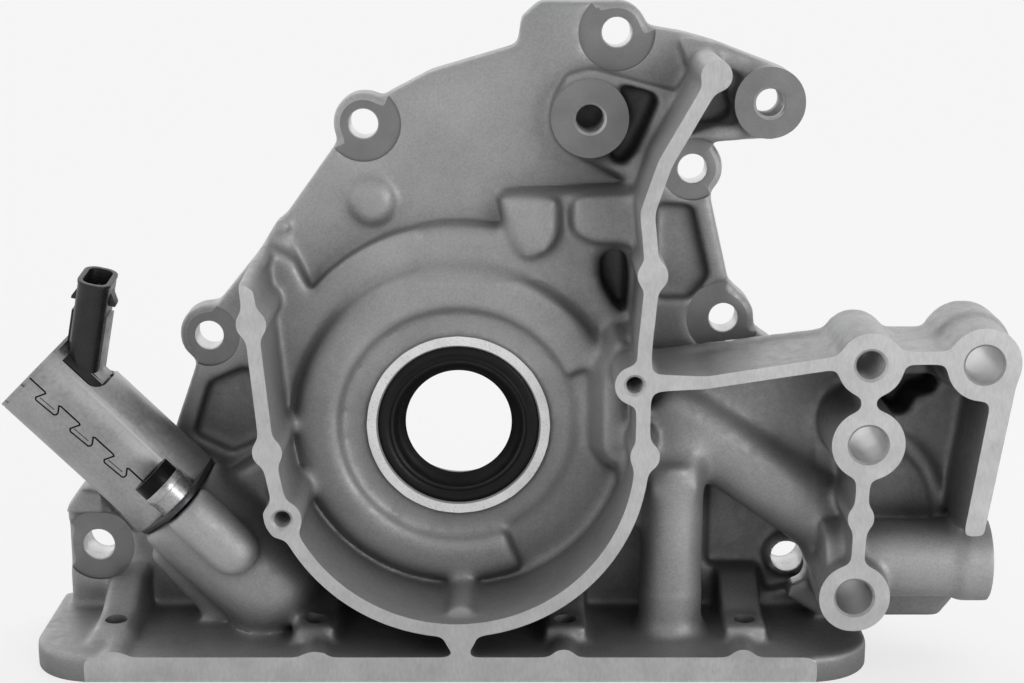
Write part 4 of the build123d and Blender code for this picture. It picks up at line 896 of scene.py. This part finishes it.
class PUMP_OT_valve_cartridge(bpy.types.Operator):
    """Finishes the valve's sleeve, spool, spring, screen and rings"""
    bl_idname = "oil_pump.valve_cartridge"
    bl_label = "Valve cartridge"

    def execute(self, context):
        repainted("valve_sleeve", plated_metal("turned_aluminium", (0.55, 0.55, 0.56), 0.3))
        repainted("filter_screen", plated_metal("woven_screen", (0.4, 0.4, 0.4), 0.4))
        repainted("valve_rings", moulded("ring_rubber", (0.012, 0.012, 0.012), 0.45, 1.0, 0.02))
        repainted("valve_spool", plated_metal("anodised_spool", (0.28, 0.27, 0.25), 0.35))
        repainted("valve_spring", plated_metal("valve_wire", (0.3, 0.3, 0.3), 0.35))
        return {"FINISHED"}


def soft_lamp(name, place, target, size, power):
    """A large square area lamp that faces a point."""
    data = bpy.data.lights.new(name, "AREA")
    data.shape, data.size, data.energy = "SQUARE", size, power
    lamp = linked(name, data)
    lamp.location = place
    lamp.rotation_euler = (Vector(target) - Vector(place)).to_track_quat("-Z", "Y").to_euler()


def studio_world(ambient, lobes):
    """White to the camera. Other rays meet a soft light that grows toward each lobe's direction."""
    world = bpy.data.worlds.new("studio")
    bpy.context.scene.world = world
    world.use_nodes = True
    nodes, links = world.node_tree.nodes, world.node_tree.links
    background = nodes["Background"]
    backdrop = nodes.new("ShaderNodeBackground")
    rays = nodes.new("ShaderNodeLightPath")
    direction = nodes.new("ShaderNodeTexCoord")
    parts = nodes.new("ShaderNodeSeparateXYZ")
    links.new(direction.outputs["Generated"], parts.inputs["Vector"])
    total = nodes.new("ShaderNodeValue")
    total.outputs[0].default_value = ambient
    for axis, end, strength in lobes:
        add = nodes.new("ShaderNodeMath")
        links.new(total.outputs[0], add.inputs[0])
        links.new(spread(nodes, links, parts.outputs[axis], 0, strength, 0, end), add.inputs[1])
        total = add
    links.new(total.outputs[0], background.inputs["Strength"])
    background.inputs["Color"].default_value = (1, 1, 1, 1)
    backdrop.inputs["Color"].default_value = (1, 1, 1, 1)
    mix = nodes.new("ShaderNodeMixShader")
    links.new(rays.outputs["Is Camera Ray"], mix.inputs["Fac"])
    links.new(background.outputs[0], mix.inputs[1])
    links.new(backdrop.outputs[0], mix.inputs[2])
    links.new(mix.outputs[0], nodes["World Output"].inputs["Surface"])


class PUMP_OT_stage(bpy.types.Operator):
    """Builds the floor, the soft lamp, the world and the camera"""
    bl_idname = "oil_pump.stage"
    bl_label = "Stage"

    def execute(self, context):
        scene = context.scene
        settings = scene.pump_stage
        scene.view_settings.view_transform = "Standard"
        bpy.ops.mesh.primitive_plane_add(size=FLOOR_SIZE, location=(0, 0, cad_box[0][2]))
        floor = context.object
        floor.name = "floor"
        material, nodes, links, principled = shader("pale_floor", settings.floor_colour, 0.0, 0.9)
        glow = nodes.new("ShaderNodeEmission")
        mix = nodes.new("ShaderNodeMixShader")
        rays = nodes.new("ShaderNodeLightPath")
        share = nodes.new("ShaderNodeMath")
        share.operation = "MULTIPLY"
        share.inputs[1].default_value = FLOOR_GLOW
        links.new(rays.outputs["Is Camera Ray"], share.inputs[0])
        links.new(share.outputs[0], mix.inputs["Fac"])
        links.new(principled.outputs[0], mix.inputs[1])
        links.new(glow.outputs[0], mix.inputs[2])
        links.new(mix.outputs[0], nodes["Material Output"].inputs["Surface"])
        floor.data.materials.append(material)
        soft_lamp("front lamp", LAMP_PLACE, LAMP_TARGET, LAMP_SIZE, settings.lamp_power)
        studio_world(WORLD_LIGHT, WORLD_LOBES)
        camera = linked("camera", bpy.data.cameras.new("camera"))
        camera.data.lens, camera.data.sensor_width = CAMERA_LENS, CAMERA_SENSOR
        camera.data.clip_start = 0.01
        camera.location = CAMERA_PLACE
        aim = Vector((0, cos(CAMERA_TILT), -sin(CAMERA_TILT)))
        camera.rotation_euler = aim.to_track_quat("-Z", "Y").to_euler()
        scene.camera = camera
        return {"FINISHED"}


class PUMP_PT_pieces(bpy.types.Panel):
    """Sidebar panel that lists the pieces and their settings"""
    bl_idname = "PUMP_PT_pieces"
    bl_label = "Oil Pump"
    bl_space_type = "VIEW_3D"
    bl_region_type = "UI"
    bl_category = "Oil Pump"

    def draw(self, context):
        layout = self.layout
        scene = context.scene
        for group in (scene.pump_casting, scene.pump_valve, scene.pump_stage):
            box = layout.box()
            for name in group.__annotations__:
                box.prop(group, name)
        for operator in PIECES:
            layout.operator(operator.bl_idname)


PIECES = (PUMP_OT_casting, PUMP_OT_seal, PUMP_OT_rotors, PUMP_OT_relief_valve, PUMP_OT_solenoid,
          PUMP_OT_connector, PUMP_OT_valve_mount, PUMP_OT_valve_cartridge, PUMP_OT_stage)
CLASSES = (CastingSettings, ValveSettings, StageSettings, *PIECES, PUMP_PT_pieces)


def register():
    for cls in CLASSES:
        bpy.utils.register_class(cls)
    bpy.types.Scene.pump_casting = PointerProperty(type=CastingSettings)
    bpy.types.Scene.pump_valve = PointerProperty(type=ValveSettings)
    bpy.types.Scene.pump_stage = PointerProperty(type=StageSettings)


def unregister():
    for name in ("pump_casting", "pump_valve", "pump_stage"):
        delattr(bpy.types.Scene, name)
    for cls in reversed(CLASSES):
        bpy.utils.unregister_class(cls)


def main():
    register()
    bpy.ops.oil_pump.casting()
    bpy.ops.oil_pump.seal()
    bpy.ops.oil_pump.rotors()
    bpy.ops.oil_pump.relief_valve()
    bpy.ops.oil_pump.solenoid()
    bpy.ops.oil_pump.connector()
    bpy.ops.oil_pump.valve_mount()
    bpy.ops.oil_pump.valve_cartridge()
    bpy.ops.oil_pump.stage()


if __name__ == "__main__":
    main()
